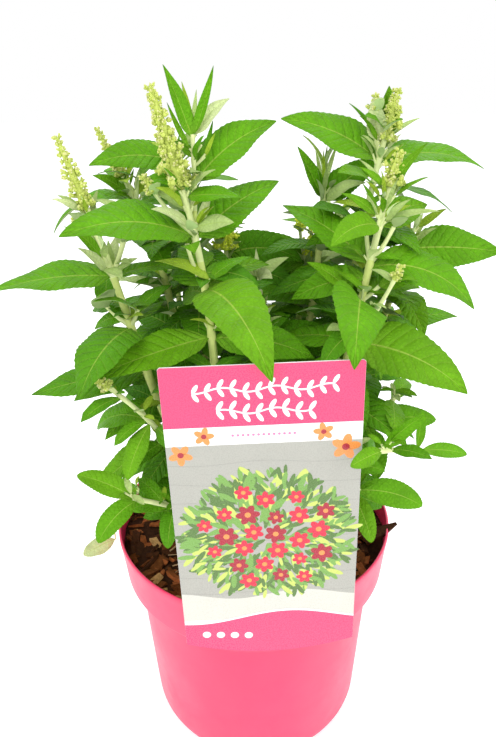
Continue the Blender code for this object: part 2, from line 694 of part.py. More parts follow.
class Mass:
    """One shoot's limbs and leaves while it grows."""

    def __init__(self, shoot, number, low):
        """low marks the thin twigs near the compost, which have no bough of their own."""
        self.shoot = shoot
        self.low = low
        self.owner = "foliage_" + shoot.name
        self.rng = random.Random(SEED * 100 + number)
        start = Vector((0.0, 0.0, shoot.height))
        self.path = Path(start, direction(shoot.heading, shoot.climb), Vector(shoot.tip),
                         direction(shoot.lean, shoot.steep))
        self.start = STUB_LENGTH if low else shoot.bare
        self.stems = []
        self.leaves = []
        self.wanted = []

    def grow_stems(self):
        """The mass's own stem, its spike of buds and its side twigs."""
        shoot = self.shoot
        foot = LOW_FOOT_RADIUS if self.low else MASS_FOOT_RADIUS
        tip = LOW_TIP_RADIUS if self.low else SHOOT_TIP_RADIUS
        begin = self.start + GAP
        end = self.path.length
        self.stems.append(tube(self.path, begin, end, foot, tip, SHOOT_SIDES))
        if shoot.bud:
            along = self.path.heading(end)
            self.stems.append(bud_spike(self.path.at(end) - along, along, shoot.bud,
                                        shoot.bud_radius))
        self.plan_pairs(begin + LEAFLESS_FOOT)
        for side in shoot.sides:
            self.grow_side(side)

    def plan_pairs(self, lowest):
        """Leaf pairs from the tip down, each square to the one above."""
        shoot = self.shoot
        leafy = self.path.length - lowest
        distance = self.path.length - shoot.first_gap
        pair = 0
        while distance > lowest:
            share = (self.path.length - distance) / leafy
            grown = shoot.tip_leaf + (1 - shoot.tip_leaf) * min(1.0, share / FULL_SIZE_SHARE)
            shrunk = max(0.0, share - LOW_LEAF_SHARE) / (1 - LOW_LEAF_SHARE)
            length = shoot.leaf * grown * (1.0 - LOW_LEAF_LOSS * shrunk)
            rise = shoot.upright * (1.0 - RISE_LOSS * share) + LEAST_RISE
            for side in (0, 1):
                turn = shoot.phase + 90 * pair + 180 * side
                pose = Pose(turn + self.spread(TURN_SPREAD), rise + self.spread(RISE_SPREAD),
                            rise - DROOP - DROOP_GAIN * share + self.spread(DROOP_SPREAD),
                            length * self.rng.uniform(*LEAF_LENGTHS))
                self.want(self.path, distance, side, shoot.posed.get((pair, side), pose),
                          (pair, side) not in shoot.posed)
            distance -= shoot.internode * self.rng.uniform(*INTERNODES)
            pair += 1

    def spread(self, reach):
        return self.rng.uniform(-reach, reach)

    def want(self, path, distance, side, pose, plain):
        """Plan a leaf at a node of a path; it is placed later, where there is room."""
        lift = PAIR_OFFSET if side else -PAIR_OFFSET
        root = path.at(distance) + path.heading(distance) * lift
        root += direction(pose.heading, 0) * LEAF_SINK
        outward = Vector((root.x, root.y, 0.0)) / RIM_RADIUS
        light = Vector((self.spread(LIGHT_SPREAD), self.spread(LIGHT_SPREAD) - pose.front, 1.0))
        width = LEAF_HALF_WIDTH * pose.width * self.rng.uniform(*LEAF_WIDTHS)
        self.wanted.append(Leaf(root, pose.heading, pose.rise, pose.fall, pose.length,
                                light + outward * LIGHT_OUTWARD, width, plain))

    def grow_side(self, side):
        """A thin twig from a leaf's axil, with its own small leaves and perhaps buds."""
        shoot = self.shoot
        distance = self.path.length - shoot.first_gap - side.pair * shoot.internode
        start = self.path.at(distance + TWIG_AXIL_LIFT)
        leave = direction(side.heading, side.climb)
        arrive = direction(side.heading, min(TWIG_STEEPEST, side.climb + TWIG_CURL))
        path = Path(start, leave, start + (leave + arrive).normalized() * side.length, arrive)
        self.stems.append(tube(path, 0.0, path.length, TWIG_FOOT_RADIUS, TWIG_TIP_RADIUS,
                               TWIG_SIDES))
        if side.bud:
            self.stems.append(bud_spike(path.at(path.length) - arrive, arrive, side.bud,
                                        TWIG_BUD_SLIMNESS * side.bud))
        for pair, share in enumerate(TWIG_NODES[side.pairs]):
            for hand in (0, 1):
                turn = side.heading + 90 + 90 * pair + 180 * hand
                rise = side.spread + self.spread(TWIG_LEAF_RISE)
                pose = Pose(turn + self.spread(TWIG_LEAF_TURN), rise, rise - TWIG_LEAF_DROOP,
                            side.leaf * self.rng.uniform(*TWIG_LEAF_LENGTHS))
                self.want(path, path.length * share, hand, side.posed.get((pair, hand), pose),
                          (pair, hand) not in side.posed)

    def settle(self, leaf, space):
        """Place a leaf where it is clear, after a few second tries, or leave it out."""
        for turn, lift, shorter in SECOND_TRIES:
            tried = Leaf(leaf.root, leaf.heading + turn, leaf.rise + lift, leaf.fall + lift,
                         leaf.length * shorter, leaf.light, leaf.width, leaf.plain)
            if space.free(self.owner, leaf_solid(tried, LEAF_CLEARANCE),
                          leaf_solid(tried, LEAF_CLEARANCE, ROOT_SHARE)):
                space.add(self.owner, leaf_solid(tried), leaf_solid(tried, 0.0, ROOT_SHARE))
                self.leaves.append(tried)
                return


def make_crown(masses, material):
    """The short woody stem: flared at the compost, with a stub for each shoot."""
    foot = COMPOST_TOP + GAP
    profile = [(0.0, foot), (CROWN_FOOT_RADIUS, foot), (CROWN_SHOULDER_RADIUS, foot + 3),
               (CROWN_WAIST_RADIUS, foot + 10), (CROWN_TOP_RADIUS, CROWN_TOP - 4),
               (CROWN_TIP_RADIUS, CROWN_TOP - 0.5), (0.0, CROWN_TOP)]
    crown = add_object("main_stem", turned(profile, CROWN_SIDES), material)
    stubs = []
    for mass in masses:
        radius = LOW_STUB_RADIUS if mass.low else STUB_RADIUS
        bm = tube(mass.path, STUB_START, STUB_LENGTH, radius * STUB_FLARE, radius, STUB_SIDES)
        stubs.append(add_object("stub", bm, material))
    boolean(crown, "UNION", stubs)
    drop_scraps(crown)
    shade(crown, 50)
    return crown


def fill_space(space, pieces):
    """Take up the space of finished objects, which are already in metres."""
    for piece in pieces:
        bm = bmesh.new()
        bm.from_mesh(piece.data)
        bmesh.ops.scale(bm, vec=(1 / MM, 1 / MM, 1 / MM), verts=bm.verts)
        space.add(piece.name, bm)
        bm.free()


def build():
    for old in list(bpy.data.objects):
        bpy.data.objects.remove(old)
    pink = paint("pink_pot", (0.90, 0.09, 0.24), 0.38)
    brown = paint("bark_compost", (0.10, 0.05, 0.03), 0.95)
    bark = paint("bark", (0.30, 0.22, 0.13), 0.85)
    green_stem = paint("shoot_skin", (0.42, 0.50, 0.22), 0.70)
    green_leaf = paint("leaf_green", (0.13, 0.30, 0.04), 0.55)
    card = paint("label_print", (0.86, 0.25, 0.42), 0.30)
    space = Space()
    fill_space(space, (make_pot(pink), make_compost(brown), make_label(card)))
    masses = [Mass(shoot, number, number >= len(SHOOTS))
              for number, shoot in enumerate(SHOOTS + TWIGS)]
    fill_space(space, [make_crown(masses, bark)])
    for mass in masses:
        mass.grow_stems()
        for bm in mass.stems:
            space.add(mass.owner, bm)
        if not mass.low:
            bough = tube(mass.path, STUB_LENGTH + GAP, mass.start, BOUGH_FOOT_RADIUS,
                         MASS_FOOT_RADIUS, BOUGH_SIDES)
            space.add("bough_" + mass.shoot.name, bough)
            shade(add_object("bough_" + mass.shoot.name, bough, green_stem))
    for late in (False, True):
        for mass in masses:
            for leaf in mass.wanted:
                if leaf.plain == late:
                    mass.settle(leaf, space)
    for mass in masses:
        solids = [add_object("limb", bm, green_leaf) for bm in mass.stems]
        solids += [add_object("leaf", leaf_solid(leaf), green_leaf) for leaf in mass.leaves]
        stem = solids[0]
        stem.name = mass.owner
        boolean(stem, "UNION", solids[1:], "MANIFOLD")
        drop_scraps(stem)


build()
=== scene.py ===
"""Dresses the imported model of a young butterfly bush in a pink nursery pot.

The lengths in the tables are millimetres, measured from the middle of the pot's underside,
with +Z up and -Y to the front, and angles are degrees. MM turns them into metres.
"""
import functools
import json
import math
import random
from dataclasses import dataclass, field, replace

import bmesh
import bpy
import numpy as np
from bpy.props import FloatProperty, FloatVectorProperty, IntProperty, PointerProperty
from mathutils import Matrix, Vector, noise
from mathutils.bvhtree import BVHTree

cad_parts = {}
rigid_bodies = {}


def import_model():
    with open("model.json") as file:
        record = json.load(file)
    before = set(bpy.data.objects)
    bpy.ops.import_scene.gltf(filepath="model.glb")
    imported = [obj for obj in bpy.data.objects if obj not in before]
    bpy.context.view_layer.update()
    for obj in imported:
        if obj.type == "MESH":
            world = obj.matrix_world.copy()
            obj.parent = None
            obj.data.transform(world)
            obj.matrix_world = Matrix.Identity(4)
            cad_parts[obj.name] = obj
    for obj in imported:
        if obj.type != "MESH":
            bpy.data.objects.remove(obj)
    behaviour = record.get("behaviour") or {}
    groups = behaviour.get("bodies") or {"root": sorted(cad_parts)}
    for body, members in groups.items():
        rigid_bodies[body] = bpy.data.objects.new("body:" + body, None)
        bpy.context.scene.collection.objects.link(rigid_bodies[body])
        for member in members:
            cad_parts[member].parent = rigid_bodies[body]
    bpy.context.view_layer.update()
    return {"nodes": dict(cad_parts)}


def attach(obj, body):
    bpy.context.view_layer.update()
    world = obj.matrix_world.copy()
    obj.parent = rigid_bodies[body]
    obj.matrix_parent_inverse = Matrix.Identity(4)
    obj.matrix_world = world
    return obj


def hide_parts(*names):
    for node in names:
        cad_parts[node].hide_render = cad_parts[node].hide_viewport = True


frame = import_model()

bl_info = {
    "name": "Potted butterfly bush",
    "version": (1, 0, 0),
    "blender": (4, 5, 0),
    "location": "View3D > Sidebar > Bush",
    "description": "Grows a leafy bush in bud in a pink pot with a picture card",
    "category": "Add Mesh",
}

MM = 0.001
GAP = 0.3
SEED = 47

# Pot
POT_HEIGHT = 160.0
RIM_RADIUS = 95.0
COLLAR_FOOT_RADIUS = 92.3
COLLAR_DEPTH = 32.4
SHOULDER_DEPTH = 10.0
WALL_TOP_RADIUS = 84.0
BASE_RADIUS = 78.4
BASE_CORNER = 13.0
WALL = 1.6
DRAIN_HOLES = 6
DRAIN_RADIUS = 5.0
DRAIN_CIRCLE = 50.0

# Compost
COMPOST_TOP = 148.0
COMPOST_EDGE = 92.0
COMPOST_RINGS = 42
COMPOST_SIDES = 120
COMPOST_SINK = 1.4
HUMPS = (2.6, 0.045)             # height and fineness of the compost's humps, ...
LUMPS = (1.5, 0.17)              # ... lumps ...
CRUMBS = (1.1, 0.42)             # ... and crumbs
CHIP_SIZE = (16.0, 6.5, 2.6)
CHIP_SCALE = (0.35, 1.0)
CHIP_SMALLNESS = 1.3
CHIP_SPREAD = (0.7, 1.1)
CHIP_JITTER = (0.7, 1.15)
CHIP_TILT = 0.34
CHIP_LEAN = 0.26
CHIP_LIFT = (0.0, 1.6)
BARKS = (("dark_bark", (0.055, 0.019, 0.006)), ("brown_bark", (0.15, 0.048, 0.011)),
         ("red_bark", (0.30, 0.090, 0.025)), ("pale_bark", (0.46, 0.27, 0.10)))
BARK_SHARES = (5, 5, 4, 1.3)
STRAW_LENGTHS = (8.0, 26.0)
STRAW_RADIUS = (0.25, 0.6)
STRAW_LIFT = (1.5, 3.0)
STRAW_RISE = (-9, 14)
STRAW_BEND = 0.35
STRAW_COLOR = (0.38, 0.245, 0.115)
RIM_CHIP_SIZE = (25.0, 9.0, 2.2)
RIM_CHIP_PLACE = (86.5, -24.0, 157.2)
RIM_CHIP_TURN = (12.0, 24.0)

# Label
LABEL_WIDTH = 96.0
LABEL_HEIGHT = 175.0
LABEL_THICKNESS = 0.8
LABEL_FOOT_SAG = 8.0
LABEL_CORNER = 1.0
STAKE_WIDTH = 18.0
STAKE_THICKNESS = 1.2
STAKE_TOP = 206.0
STAKE_BEND = 180.0
STAKE_Y = -83.5
STAKE_ENTRY = 150.0
STAKE_TIP = 126.0
STAKE_STAND_OFF = 0.25
LABEL_FOOT_MIDDLE = (8.3, 140.0)
LABEL_TURN = 1.3
LABEL_ROLL = 1.1
CARD_STAND_OFF = 0.45

# Print, measured up from the middle of the card's foot
PRINT_STEP = 0.008               # how far each layer of ink stands before the one below
PRINT_CLEAR = 0.03
PRINT_MARGIN = 0.05
HEAD_FOOT = 143.0
STRIP_FOOT = 133.0
PANEL_FOOT = 18.0
GARLANDS = ((162.5, 8.6, 33, 12), (151.0, 9.4, 22, 8))        # height, leaf, reach, count
STRIP_FLOWERS = ((-29, 138, 5.2), (29, 138, 5.2), (40, 129, 7.5), (-41, 128, 6.2))
MOUND_LEAVES = 760
MOUND_FLOWERS = 24
GOLDEN_TURN = 137.5

# Crown
CROWN_PROFILE = ((0.0, 0), (11.5, 0), (9.7, 3), (8.4, 6), (7.6, 10), (6.9, 16), (6.3, 22),
                 (5.6, 32), (3.4, 35.5), (0.0, 36))      # radius and height above the compost
PALE_BARK_COLOR = (0.34, 0.30, 0.17)
STUB_LENGTH = 15.0
STUB_START = 1.0
STUB_RADIUS = 2.9
LOW_STUB_RADIUS = 1.9
STUB_FLARE = 1.15

# Shoots
SHOOT_SIDES = 5
BOUGH_FOOT_RADIUS = 2.7
BOUGH_SIDES = 6
MASS_FOOT_RADIUS = 2.3
SHOOT_TIP_RADIUS = 1.2
LOW_FOOT_RADIUS = 1.5
LOW_TIP_RADIUS = 0.9
LEAFLESS_FOOT = 6.0
STEM_FULLNESS = 1.35             # the dressed shoots against the plain ones of the solids
YOUNG_STEM = 38.0                # the upper part of a shoot that is whiter with felt
NODE_SWELL = 0.35
NODE_REACH = 2.2
PATH_STEPS = 48
PATH_PULL = 0.40
RING_SPACING = 19.0
FIRST_ACROSS = (0.83, 0.29, 0.11)

# Side twigs
TWIG_FOOT_RADIUS = 1.15
TWIG_TIP_RADIUS = 0.7
TWIG_SIDES = 4
TWIG_AXIL_LIFT = 1.5
TWIG_CURL = 18.0
TWIG_STEEPEST = 88.0
TWIG_BUD_SLIMNESS = 0.34
TWIG_NODES = {1: (0.97,), 2: (0.52, 0.97), 3: (0.52, 0.76, 0.97)}
TWIG_LEAF_TURN = 20.0
TWIG_LEAF_RISE = 14.0
TWIG_LEAF_DROOP = 46.0
TWIG_LEAF_LENGTHS = (0.85, 1.1)
TWIG_AGE = 0.12

# Leaf pairs along a shoot
FULL_SIZE_SHARE = 0.4
LOW_LEAF_SHARE = 0.6
LOW_LEAF_LOSS = 0.22
RISE_LOSS = 1.1
LEAST_RISE = 8.0
DROOP = 42.0
DROOP_GAIN = 16.0
TURN_SPREAD = 14.0
RISE_SPREAD = 9.0
DROOP_SPREAD = 12.0
LEAF_LENGTHS = (0.86, 1.08)
INTERNODES = (0.94, 1.06)
PAIR_OFFSET = 0.6

# Leaves
LEAF_STATIONS = ((0.0, 0.10), (0.22, 0.90), (0.60, 0.88))
PLAIN_LEAF_STATIONS = ((0.0, 0.10), (0.40, 1.0))
LEAF_HALF_WIDTH = 0.225
LEAF_WIDTHS = (0.93, 1.07)
LIGHT_FRONT = 0.34
LIGHT_OUTWARD = 0.42
LIGHT_SPREAD = 0.22
LEAF_THICKNESS = 0.019
LEAF_LEAST_THICKNESS = 0.7
LEAF_SINK = 0.35
SPINE_STEPS = 16
LEAF_CLEARANCE = 0.55
ROOT_SHARE = 0.10
SECOND_TRIES = ((0, 0, 1.0), (14, 6, 1.0), (-14, 6, 1.0), (26, -10, 0.94), (-26, -10, 0.94),
                (10, 18, 0.86), (-10, 18, 0.86), (38, 10, 0.8), (-38, 10, 0.8), (0, -22, 0.78),
                (20, 30, 0.7), (-20, 30, 0.7), (0, 42, 0.62))

# Bud clusters, as the solids have them
BUD_SIDES = 5
BUD_RING_STEP = 6.5
BUD_WAIST = 0.66
BUD_TAPER = 0.62

# Single buds in whorls of bunches
BUD_WHORL = 2.9
WHORL_SWELLS = (1.0, 0.7, 0.85)
CLUSTER_FULLNESS = 1.1
CLUSTER_TAPER = 0.66
CLUSTER_CURVE = 1.2
CLUSTER_CORE = (0.5, 0.16)       # radii of the core at its foot and tip against the whorls'
CLUSTER_STALK = (0.8, 0.25)
BUNCH_REACH = (0.55, 0.85)
BUD_SPREAD = (0.75, 1.15)
BUD_PLUMPNESS = 0.38
STRAY_BUNCHES = 0.12
STRAY_STALK = 1.8
BUD_SHARES = (5, 4, 1, 0)        # how often each finish is dealt, in the sun ...
INNER_BUD_SHARES = (1, 0, 1, 8)  # ... and in the shade, mostly the last finish, which is painted light
CREAM_COLOR = (0.62, 0.63, 0.26)
INNER_BUD_TOP = 350.0            # clusters of the inner shoots below this are in the shade
# a brighter yellow-green: painted light that lifts the clusters in the shade
PAINTED_LIGHT_BUD_COLOR = (0.78, 0.88, 0.07)

# Finer growth, beyond the solids: leaves between the nodes, ...
FINE_CLEARANCE = 0.15
BETWEEN_ROOT_SHARE = 0.12
BETWEEN_FOOT = 24.0
BETWEEN_LOW_FOOT = 22.0
BETWEEN_TOP = 8.0
BETWEEN_STEPS = (9, 13)
BETWEEN_LEAF = (0.5, 0.82)
BETWEEN_RISE = (-8, 42)
BETWEEN_DROOP = (30, 60)
BETWEEN_TRIES = ((0, 1.0), (40, 0.9), (-40, 0.9), (80, 0.75), (-80, 0.75))
FRONT_SHOOT_Y = -20
BARE_FRONT_FOOT = 275.0          # above this the front shoots show their stems, ...
BARE_FRONT_TURN = 0.35           # ... as no leaf there heads further to the viewer than this

# ... tufts round the tips, ...
FINE_ROOT_SHARE = 0.16
TUFT_LEVELS = (0.15, 0.45, 0.8, 1.0)
TUFT_TWIG = (2.5, 9)
TUFT_LEAF = (13, 27)
TUFT_RISE = (42, 76)
TUFT_DROOP = (10, 45)

# ... and twiglets in the leaf axils
FINE_TWIG = (4.0, 11.0)
FINE_CLIMB = (38, 66)
FINE_LEAF = (0.24, 0.40)
FINE_RISE = (14, 52)
FINE_DROOP = 40
FINE_LEAST = 9.0
FINE_LEAST_HOST = 14

# Blade outline: share of the length against share of the greatest half width
BLADE_SHARES = (0.0, 0.035, 0.10, 0.18, 0.28, 0.38, 0.50, 0.62, 0.74, 0.84, 0.92, 0.97, 1.0)
BLADE_WIDTHS = (0.07, 0.12, 0.56, 0.86, 1.0, 1.01, 0.94, 0.81, 0.61, 0.40, 0.22, 0.10, 0.015)
BLUNT_WIDTHS = (0.06, 0.09, 0.34, 0.62, 0.86, 0.99, 1.04, 1.0, 0.87, 0.69, 0.46, 0.27, 0.02)
POSED_BLADE = (36, (-1.0, -0.66, -0.32, -0.03, 0.03, 0.32, 0.66, 1.0))
PLAIN_BLADE = (12, (-1.0, 0.0, 1.0))
SMALL_BLADE = (6, (-1.0, 0.0, 1.0))
BIG_LEAF = 30.0
SOFT_LEAF = 38.0
TOOTH = 0.022
BLADE_FOLD = 0.20
BLADE_SLIM = 0.9
UPRIGHT_SLIM = 0.68
LOW_SLIM = 0.84
UPRIGHT_RISE = 55
UPRIGHT_FOLD = 2.2
UNEVEN = 0.035
BLADE_ROLL = 0.12
BLADE_WAVE = 0.07
BLADE_TWIST = 9.0
BLADE_THICKNESS = 0.38
RIB_DEPTH = 0.16
RIB_KEEL = 0.5
RIB_SHARE = 0.022                # half width of the midrib's pale line, as a share of the blade
RIB_COLOR = (0.38, 0.52, 0.085)
VEIN_PAIRS = 11.0
VEIN_SLANT = 3.4
VEIN_TINT = 0.22
SOFT_LOSS = 0.7                  # how much fainter the veins of a soft leaf are
NET_SCALE = 420.0

# Stage
CAMERA_PLACE = (0.0, -0.33635, 0.41916)
CAMERA_TURNS = (23.9, -0.32, -1.08)      # down, to the right and over
CAMERA_LENS = 28.0
CAMERA_SENSOR = 36.0
FLOOR_REACH = 60.0
LIGHT_AIM = (0, 0, 0.25)
LIGHTS = (("key", (-0.9, -1.3, 1.7), 1.6, 2.0), ("fill", (1.4, -0.9, 1.1), 1.6, 1.1),
          ("rear", (0.2, 1.6, 1.7), 1.8, 1.4))


@dataclass
class Pose:
    """How one leaf is held: where its midrib heads, its slope at the root and at the tip,
    its length, how far its upper side turns to the front and its share of the usual width."""
    heading: float
    rise: float
    fall: float
    length: float
    front: float = LIGHT_FRONT
    width: float = 1.0


@dataclass
class Side:
    """A side twig in the axil of one leaf: where it leaves, how it runs and what it bears."""
    pair: int
    side: int
    heading: float
    climb: float
    length: float
    pairs: int = 2
    leaf: float = 24.0
    bud: float = 0.0
    spread: float = 40.0
    posed: dict = field(default_factory=dict)


@dataclass
class Shoot:
    """One shoot from the crown to its tip.

    heading, climb and height say how it leaves the crown; tip, lean and steep where and how
    it ends. It is bare for a stretch. Leaf pairs are counted from 0 at the tip, the first one
    first_gap below it, and each stands square to the one above. leaf is the length of a grown
    leaf and tip_leaf the share of it at the tip, where leaves rise by upright. posed holds the
    pose of single leaves by (pair, side) and sides the side twigs.
    """
    name: str
    heading: float
    climb: float
    height: float
    tip: tuple
    lean: float
    steep: float
    bare: float
    first_gap: float
    internode: float
    phase: float
    leaf: float
    tip_leaf: float = 0.5
    bud: float = 0.0
    bud_radius: float = 4.5
    upright: float = 38.0
    posed: dict = field(default_factory=dict)
    sides: tuple = ()


SHOOTS = (
    Shoot("front_left", 203, 40, 166, (-84, -30, 376), 180, 73, 62, 38, 31, 15, 58,
          bud=38, bud_radius=4.8, upright=24, tip_leaf=0.9,
          posed={(0, 1): Pose(198, 10, -14, 64, 0.5), (0, 0): Pose(20, 24, -20, 40),
                 (1, 0): Pose(-116, 4, -56, 56, 1.0, 1.25), (1, 1): Pose(75, 20, -30, 52),
                 (2, 1): Pose(194, 2, -14, 66)},
          sides=(Side(0, 1, 160, 58, 30, 1, 20, 12), Side(0, 0, 20, 62, 34, 2, 20),
                 Side(1, 1, 178, 35, 18, 1, 38), Side(1, 0, -30, 50, 12, 1, 34))),
    Shoot("middle_left", 236, 50, 174, (-34, -28, 384), 176, 75, 58, 25, 29, 0, 66,
          bud=52, bud_radius=7.4, upright=16, tip_leaf=1.0,
          posed={(0, 1): Pose(194, 24, -24, 72, 0.5), (0, 0): Pose(22, 44, 14, 56, 0.9),
                 (1, 0): Pose(-66, 15, -44, 89, 0.6, 0.76), (1, 1): Pose(112, 20, -20, 58),
                 (2, 1): Pose(204, -4, -16, 72, 0.4, 0.8), (2, 0): Pose(-5, 8, -30, 60)},
          sides=(Side(0, 0, 84, 72, 50, 3, 40, 0, 34,
                      {(0, 1): Pose(14, 52, 14, 54, 0.9), (0, 0): Pose(200, 30, -20, 28),
                       (1, 0): Pose(-60, 58, 30, 18, 1.2), (1, 1): Pose(150, 60, 10, 16),
                       (2, 0): Pose(192, 74, 66, 36, 0.8, 0.75),
                       (2, 1): Pose(-14, 64, 74, 34, 0.8, 0.5)}),
                 Side(0, 1, 186, 40, 30, 1, 18, 11), Side(1, 1, 190, 62, 26, 1, 28))),
    Shoot("far_left", 172, 49, 168, (-76, 30, 386), 176, 64, 60, 18, 29, 10, 56,
          bud=32, bud_radius=4.4, upright=34, tip_leaf=0.8,
          posed={(0, 1): Pose(196, 26, -58, 58), (0, 0): Pose(14, 34, -10, 40)},
          sides=(Side(0, 0, -60, 60, 16, 1, 26), Side(0, 1, 210, 58, 14, 1, 24))),
    Shoot("back_middle", 108, 57, 182, (-15, 38, 338), 100, 84, 46, 16, 25, 35, 56,
          bud=25, bud_radius=7.5, upright=40, tip_leaf=0.45,
          sides=(Side(0, 0, 40, 60, 18, 1, 15, 9), Side(0, 1, 190, 66, 20, 1, 15, 9))),
    Shoot("heart", 285, 62, 184, (3, -6, 306), 60, 86, 40, 14, 23, 20, 46,
          upright=52, tip_leaf=0.55,
          posed={(0, 0): Pose(20, 52, 10, 28), (0, 1): Pose(170, 60, 20, 26)}),
    Shoot("back_right", 70, 53, 175, (40, 46, 332), 40, 84, 48, 8, 26, -5, 54,
          bud=20, bud_radius=3.6, upright=30, tip_leaf=0.9,
          posed={(0, 1): Pose(176, 32, -4, 60, 1.9)},
          sides=(Side(0, 1, 150, 66, 24, 1, 16, 10), Side(0, 0, 20, 64, 26, 1, 18))),
    Shoot("front_right", -32, 42, 168, (74, -25, 383), 28, 74, 60, 20, 21, 65, 64,
          bud=20, bud_radius=6.0, upright=16, tip_leaf=0.6,
          posed={(0, 1): Pose(-146, 18, -42, 36), (0, 0): Pose(40, 30, -10, 44),
                 (1, 1): Pose(146, 42, 12, 62, 0.8), (1, 0): Pose(-14, 16, -56, 64, 0.5, 0.92),
                 (2, 1): Pose(-102, 34, -46, 80, 0.7, 0.84), (2, 0): Pose(76, 10, -30, 54),
                 (3, 0): Pose(-16, 2, -44, 72, 0.5), (3, 1): Pose(146, 4, -30, 56),
                 (4, 1): Pose(-80, -20, -60, 44)},
          sides=(Side(2, 1, 176, 32, 12, 1, 26, 0, 40,
                      {(0, 0): Pose(166, 46, 16, 26, 1.0, 0.8), (0, 1): Pose(80, 64, 50, 15)}),
                 Side(2, 0, 2, 30, 12, 1, 28, 0, 40,
                      {(0, 0): Pose(4, 30, -4, 28, 1.0, 0.75), (0, 1): Pose(90, 62, 44, 16)}),
                 Side(3, 0, -34, 50, 42, 2, 14, 9),
                 Side(1, 1, 120, 68, 24, 1, 15), Side(1, 0, 12, 48, 22, 1, 15))),
    Shoot("tall_right", 12, 47, 174, (78, 15, 404), 0, 78, 66, 11, 33, -5, 62,
          bud=28, bud_radius=6.2, upright=18, tip_leaf=0.95,
          posed={(0, 1): Pose(172, 40, 4, 62, 0.9), (0, 0): Pose(-4, 22, -30, 62, 0.8)},
          sides=(Side(0, 1, 200, 70, 26, 1, 16, 9),
                 Side(0, 0, -60, 72, 16, 1, 20, 0, 40, {(0, 0): Pose(-70, 40, 0, 18, 1.0)}))),
    Shoot("inner_right", 33, 58, 183, (46, 26, 380), 60, 86, 52, 9, 30, 25, 50,
          upright=46, tip_leaf=0.75,
          posed={(0, 1): Pose(184, 70, 66, 38, 1.6), (0, 0): Pose(-4, 48, 20, 42, 1.4)},
          sides=(Side(0, 0, 80, 80, 16, 1, 24, 0, 74),)),
    Shoot("far_right", -2, 35, 161, (102, 22, 353), 20, 72, 64, 12, 28, 0, 54,
          upright=26, tip_leaf=0.95,
          posed={(0, 0): Pose(-6, 6, -10, 58, 2.2, 1.05), (0, 1): Pose(176, 40, 0, 40),
                 (1, 0): Pose(-75, 10, -50, 46, 0.8)}),
    Shoot("back_left", 140, 54, 175, (-42, 26, 402), 150, 80, 56, 9, 30, 12, 58,
          upright=34, tip_leaf=0.85,
          posed={(0, 1): Pose(206, 22, -20, 54, 1.2)}),
    Shoot("rear_left", 152, 40, 160, (-58, 78, 344), 130, 74, 50, 12, 27, 20, 58,
          upright=36, tip_leaf=0.6),
    Shoot("rear_middle", 95, 44, 166, (-4, 86, 322), 90, 76, 46, 11, 27, 0, 58,
          upright=34, tip_leaf=0.6),
    Shoot("rear_right", 50, 42, 164, (58, 78, 350), 50, 74, 52, 12, 28, -8, 58,
          upright=36, tip_leaf=0.6),
)

TWIGS = (
    Shoot("left_bud", 222, 34, 158, (-76, -62, 288), 196, 46, 22, 10, 22, 30, 44,
          bud=9, bud_radius=3.6, upright=10, tip_leaf=0.5,
          posed={(1, 0): Pose(-118, -26, -62, 34, 0.8), (1, 1): Pose(150, 10, -50, 46),
                 (0, 0): Pose(-160, 0, -40, 22), (2, 1): Pose(200, 0, -50, 48),
                 (2, 0): Pose(10, 0, -40, 32)}),
    Shoot("low_left", 238, 26, 153, (-66, -78, 228), 196, 24, 22, 3, 22, 8, 34,
          upright=14, tip_leaf=0.95,
          posed={(0, 0): Pose(-130, 10, -52, 32), (0, 1): Pose(168, 34, 4, 36),
                 (1, 1): Pose(180, 30, -40, 26), (1, 0): Pose(-94, 22, -60, 28)}),
    Shoot("low_right", -42, 40, 160, (85, -90, 263), 20, -18, 22, 2, 20, 75, 38,
          upright=20, tip_leaf=0.95,
          posed={(0, 1): Pose(20, -6, -28, 32, 0.9, 0.6), (0, 0): Pose(70, 70, 55, 20, 1.5),
                 (1, 1): Pose(214, 6, -10, 22, 1.4), (1, 0): Pose(-10, 60, 40, 28, 1.6)}),
    Shoot("rim_right", -60, 26, 151, (60, -68, 224), -20, 20, 22, 4, 18, 50, 42,
          upright=4, tip_leaf=0.9,
          posed={(0, 1): Pose(-2, 8, -38, 42, 0.9), (0, 0): Pose(-66, -24, -62, 30, 1.2),
                 (1, 1): Pose(14, -4, -40, 40), (1, 0): Pose(-120, -20, -60, 26)}),
    Shoot("side_right", -17, 32, 155, (90, -24, 262), 0, 46, 22, 6, 22, 70, 48,
          upright=16, tip_leaf=0.7,
          posed={(1, 1): Pose(6, 14, -16, 44, 0.9), (1, 0): Pose(-90, 0, -50, 40, 0.9)}),
    Shoot("rim_left", 178, 35, 151, (-103, 2, 152), 180, -80, 22, 2, 34, 80, 28,
          upright=4, tip_leaf=1.0,
          posed={(0, 0): Pose(170, -50, -80, 12), (0, 1): Pose(110, -40, -70, 14)}),
    Shoot("rear_low_left", 160, 30, 156, (-74, 38, 242), 160, 42, 22, 6, 22, 60, 48,
          upright=18, tip_leaf=0.6),
    Shoot("rear_low_right", 78, 30, 156, (16, 78, 240), 80, 40, 22, 6, 22, 70, 48,
          upright=18, tip_leaf=0.6),
)


SHADES = ("fresh", "bright", "middle", "deep", "dark", "pale", "felt")
FRESH, BRIGHT, MIDDLE, DEEP, DARK, PALE, FELT = range(len(SHADES))
UNDER, UNDER_PALE = len(SHADES), len(SHADES) + 1

# How often each shade is dealt, by the kind of leaf
POSED_SHADES = (0, 3, 6, 3, 0, 0, 0)
TUFT_SHADES = (5, 2, 1, 0, 0, 4, 2)
SMALL_SHADES = (4, 3, 3, 1, 0, 4, 0)
YOUNG_SHADES = (3, 4, 3, 1, 0, 2, 0)
UPPER_SHADES = (1.2, 4, 6, 2, 0, 1.0, 0)
OLDER_SHADES = (0, 1.5, 5, 5, 2, 0, 0)
# painted shade: leaves low in the bush are dealt darker greens
DIM_SHADES = (0.5, 1, 1, 1.2, 2.0, 0.4, 0.4)     # the factors for leaves below DIM_TOP
DIM_TOP = 236.0


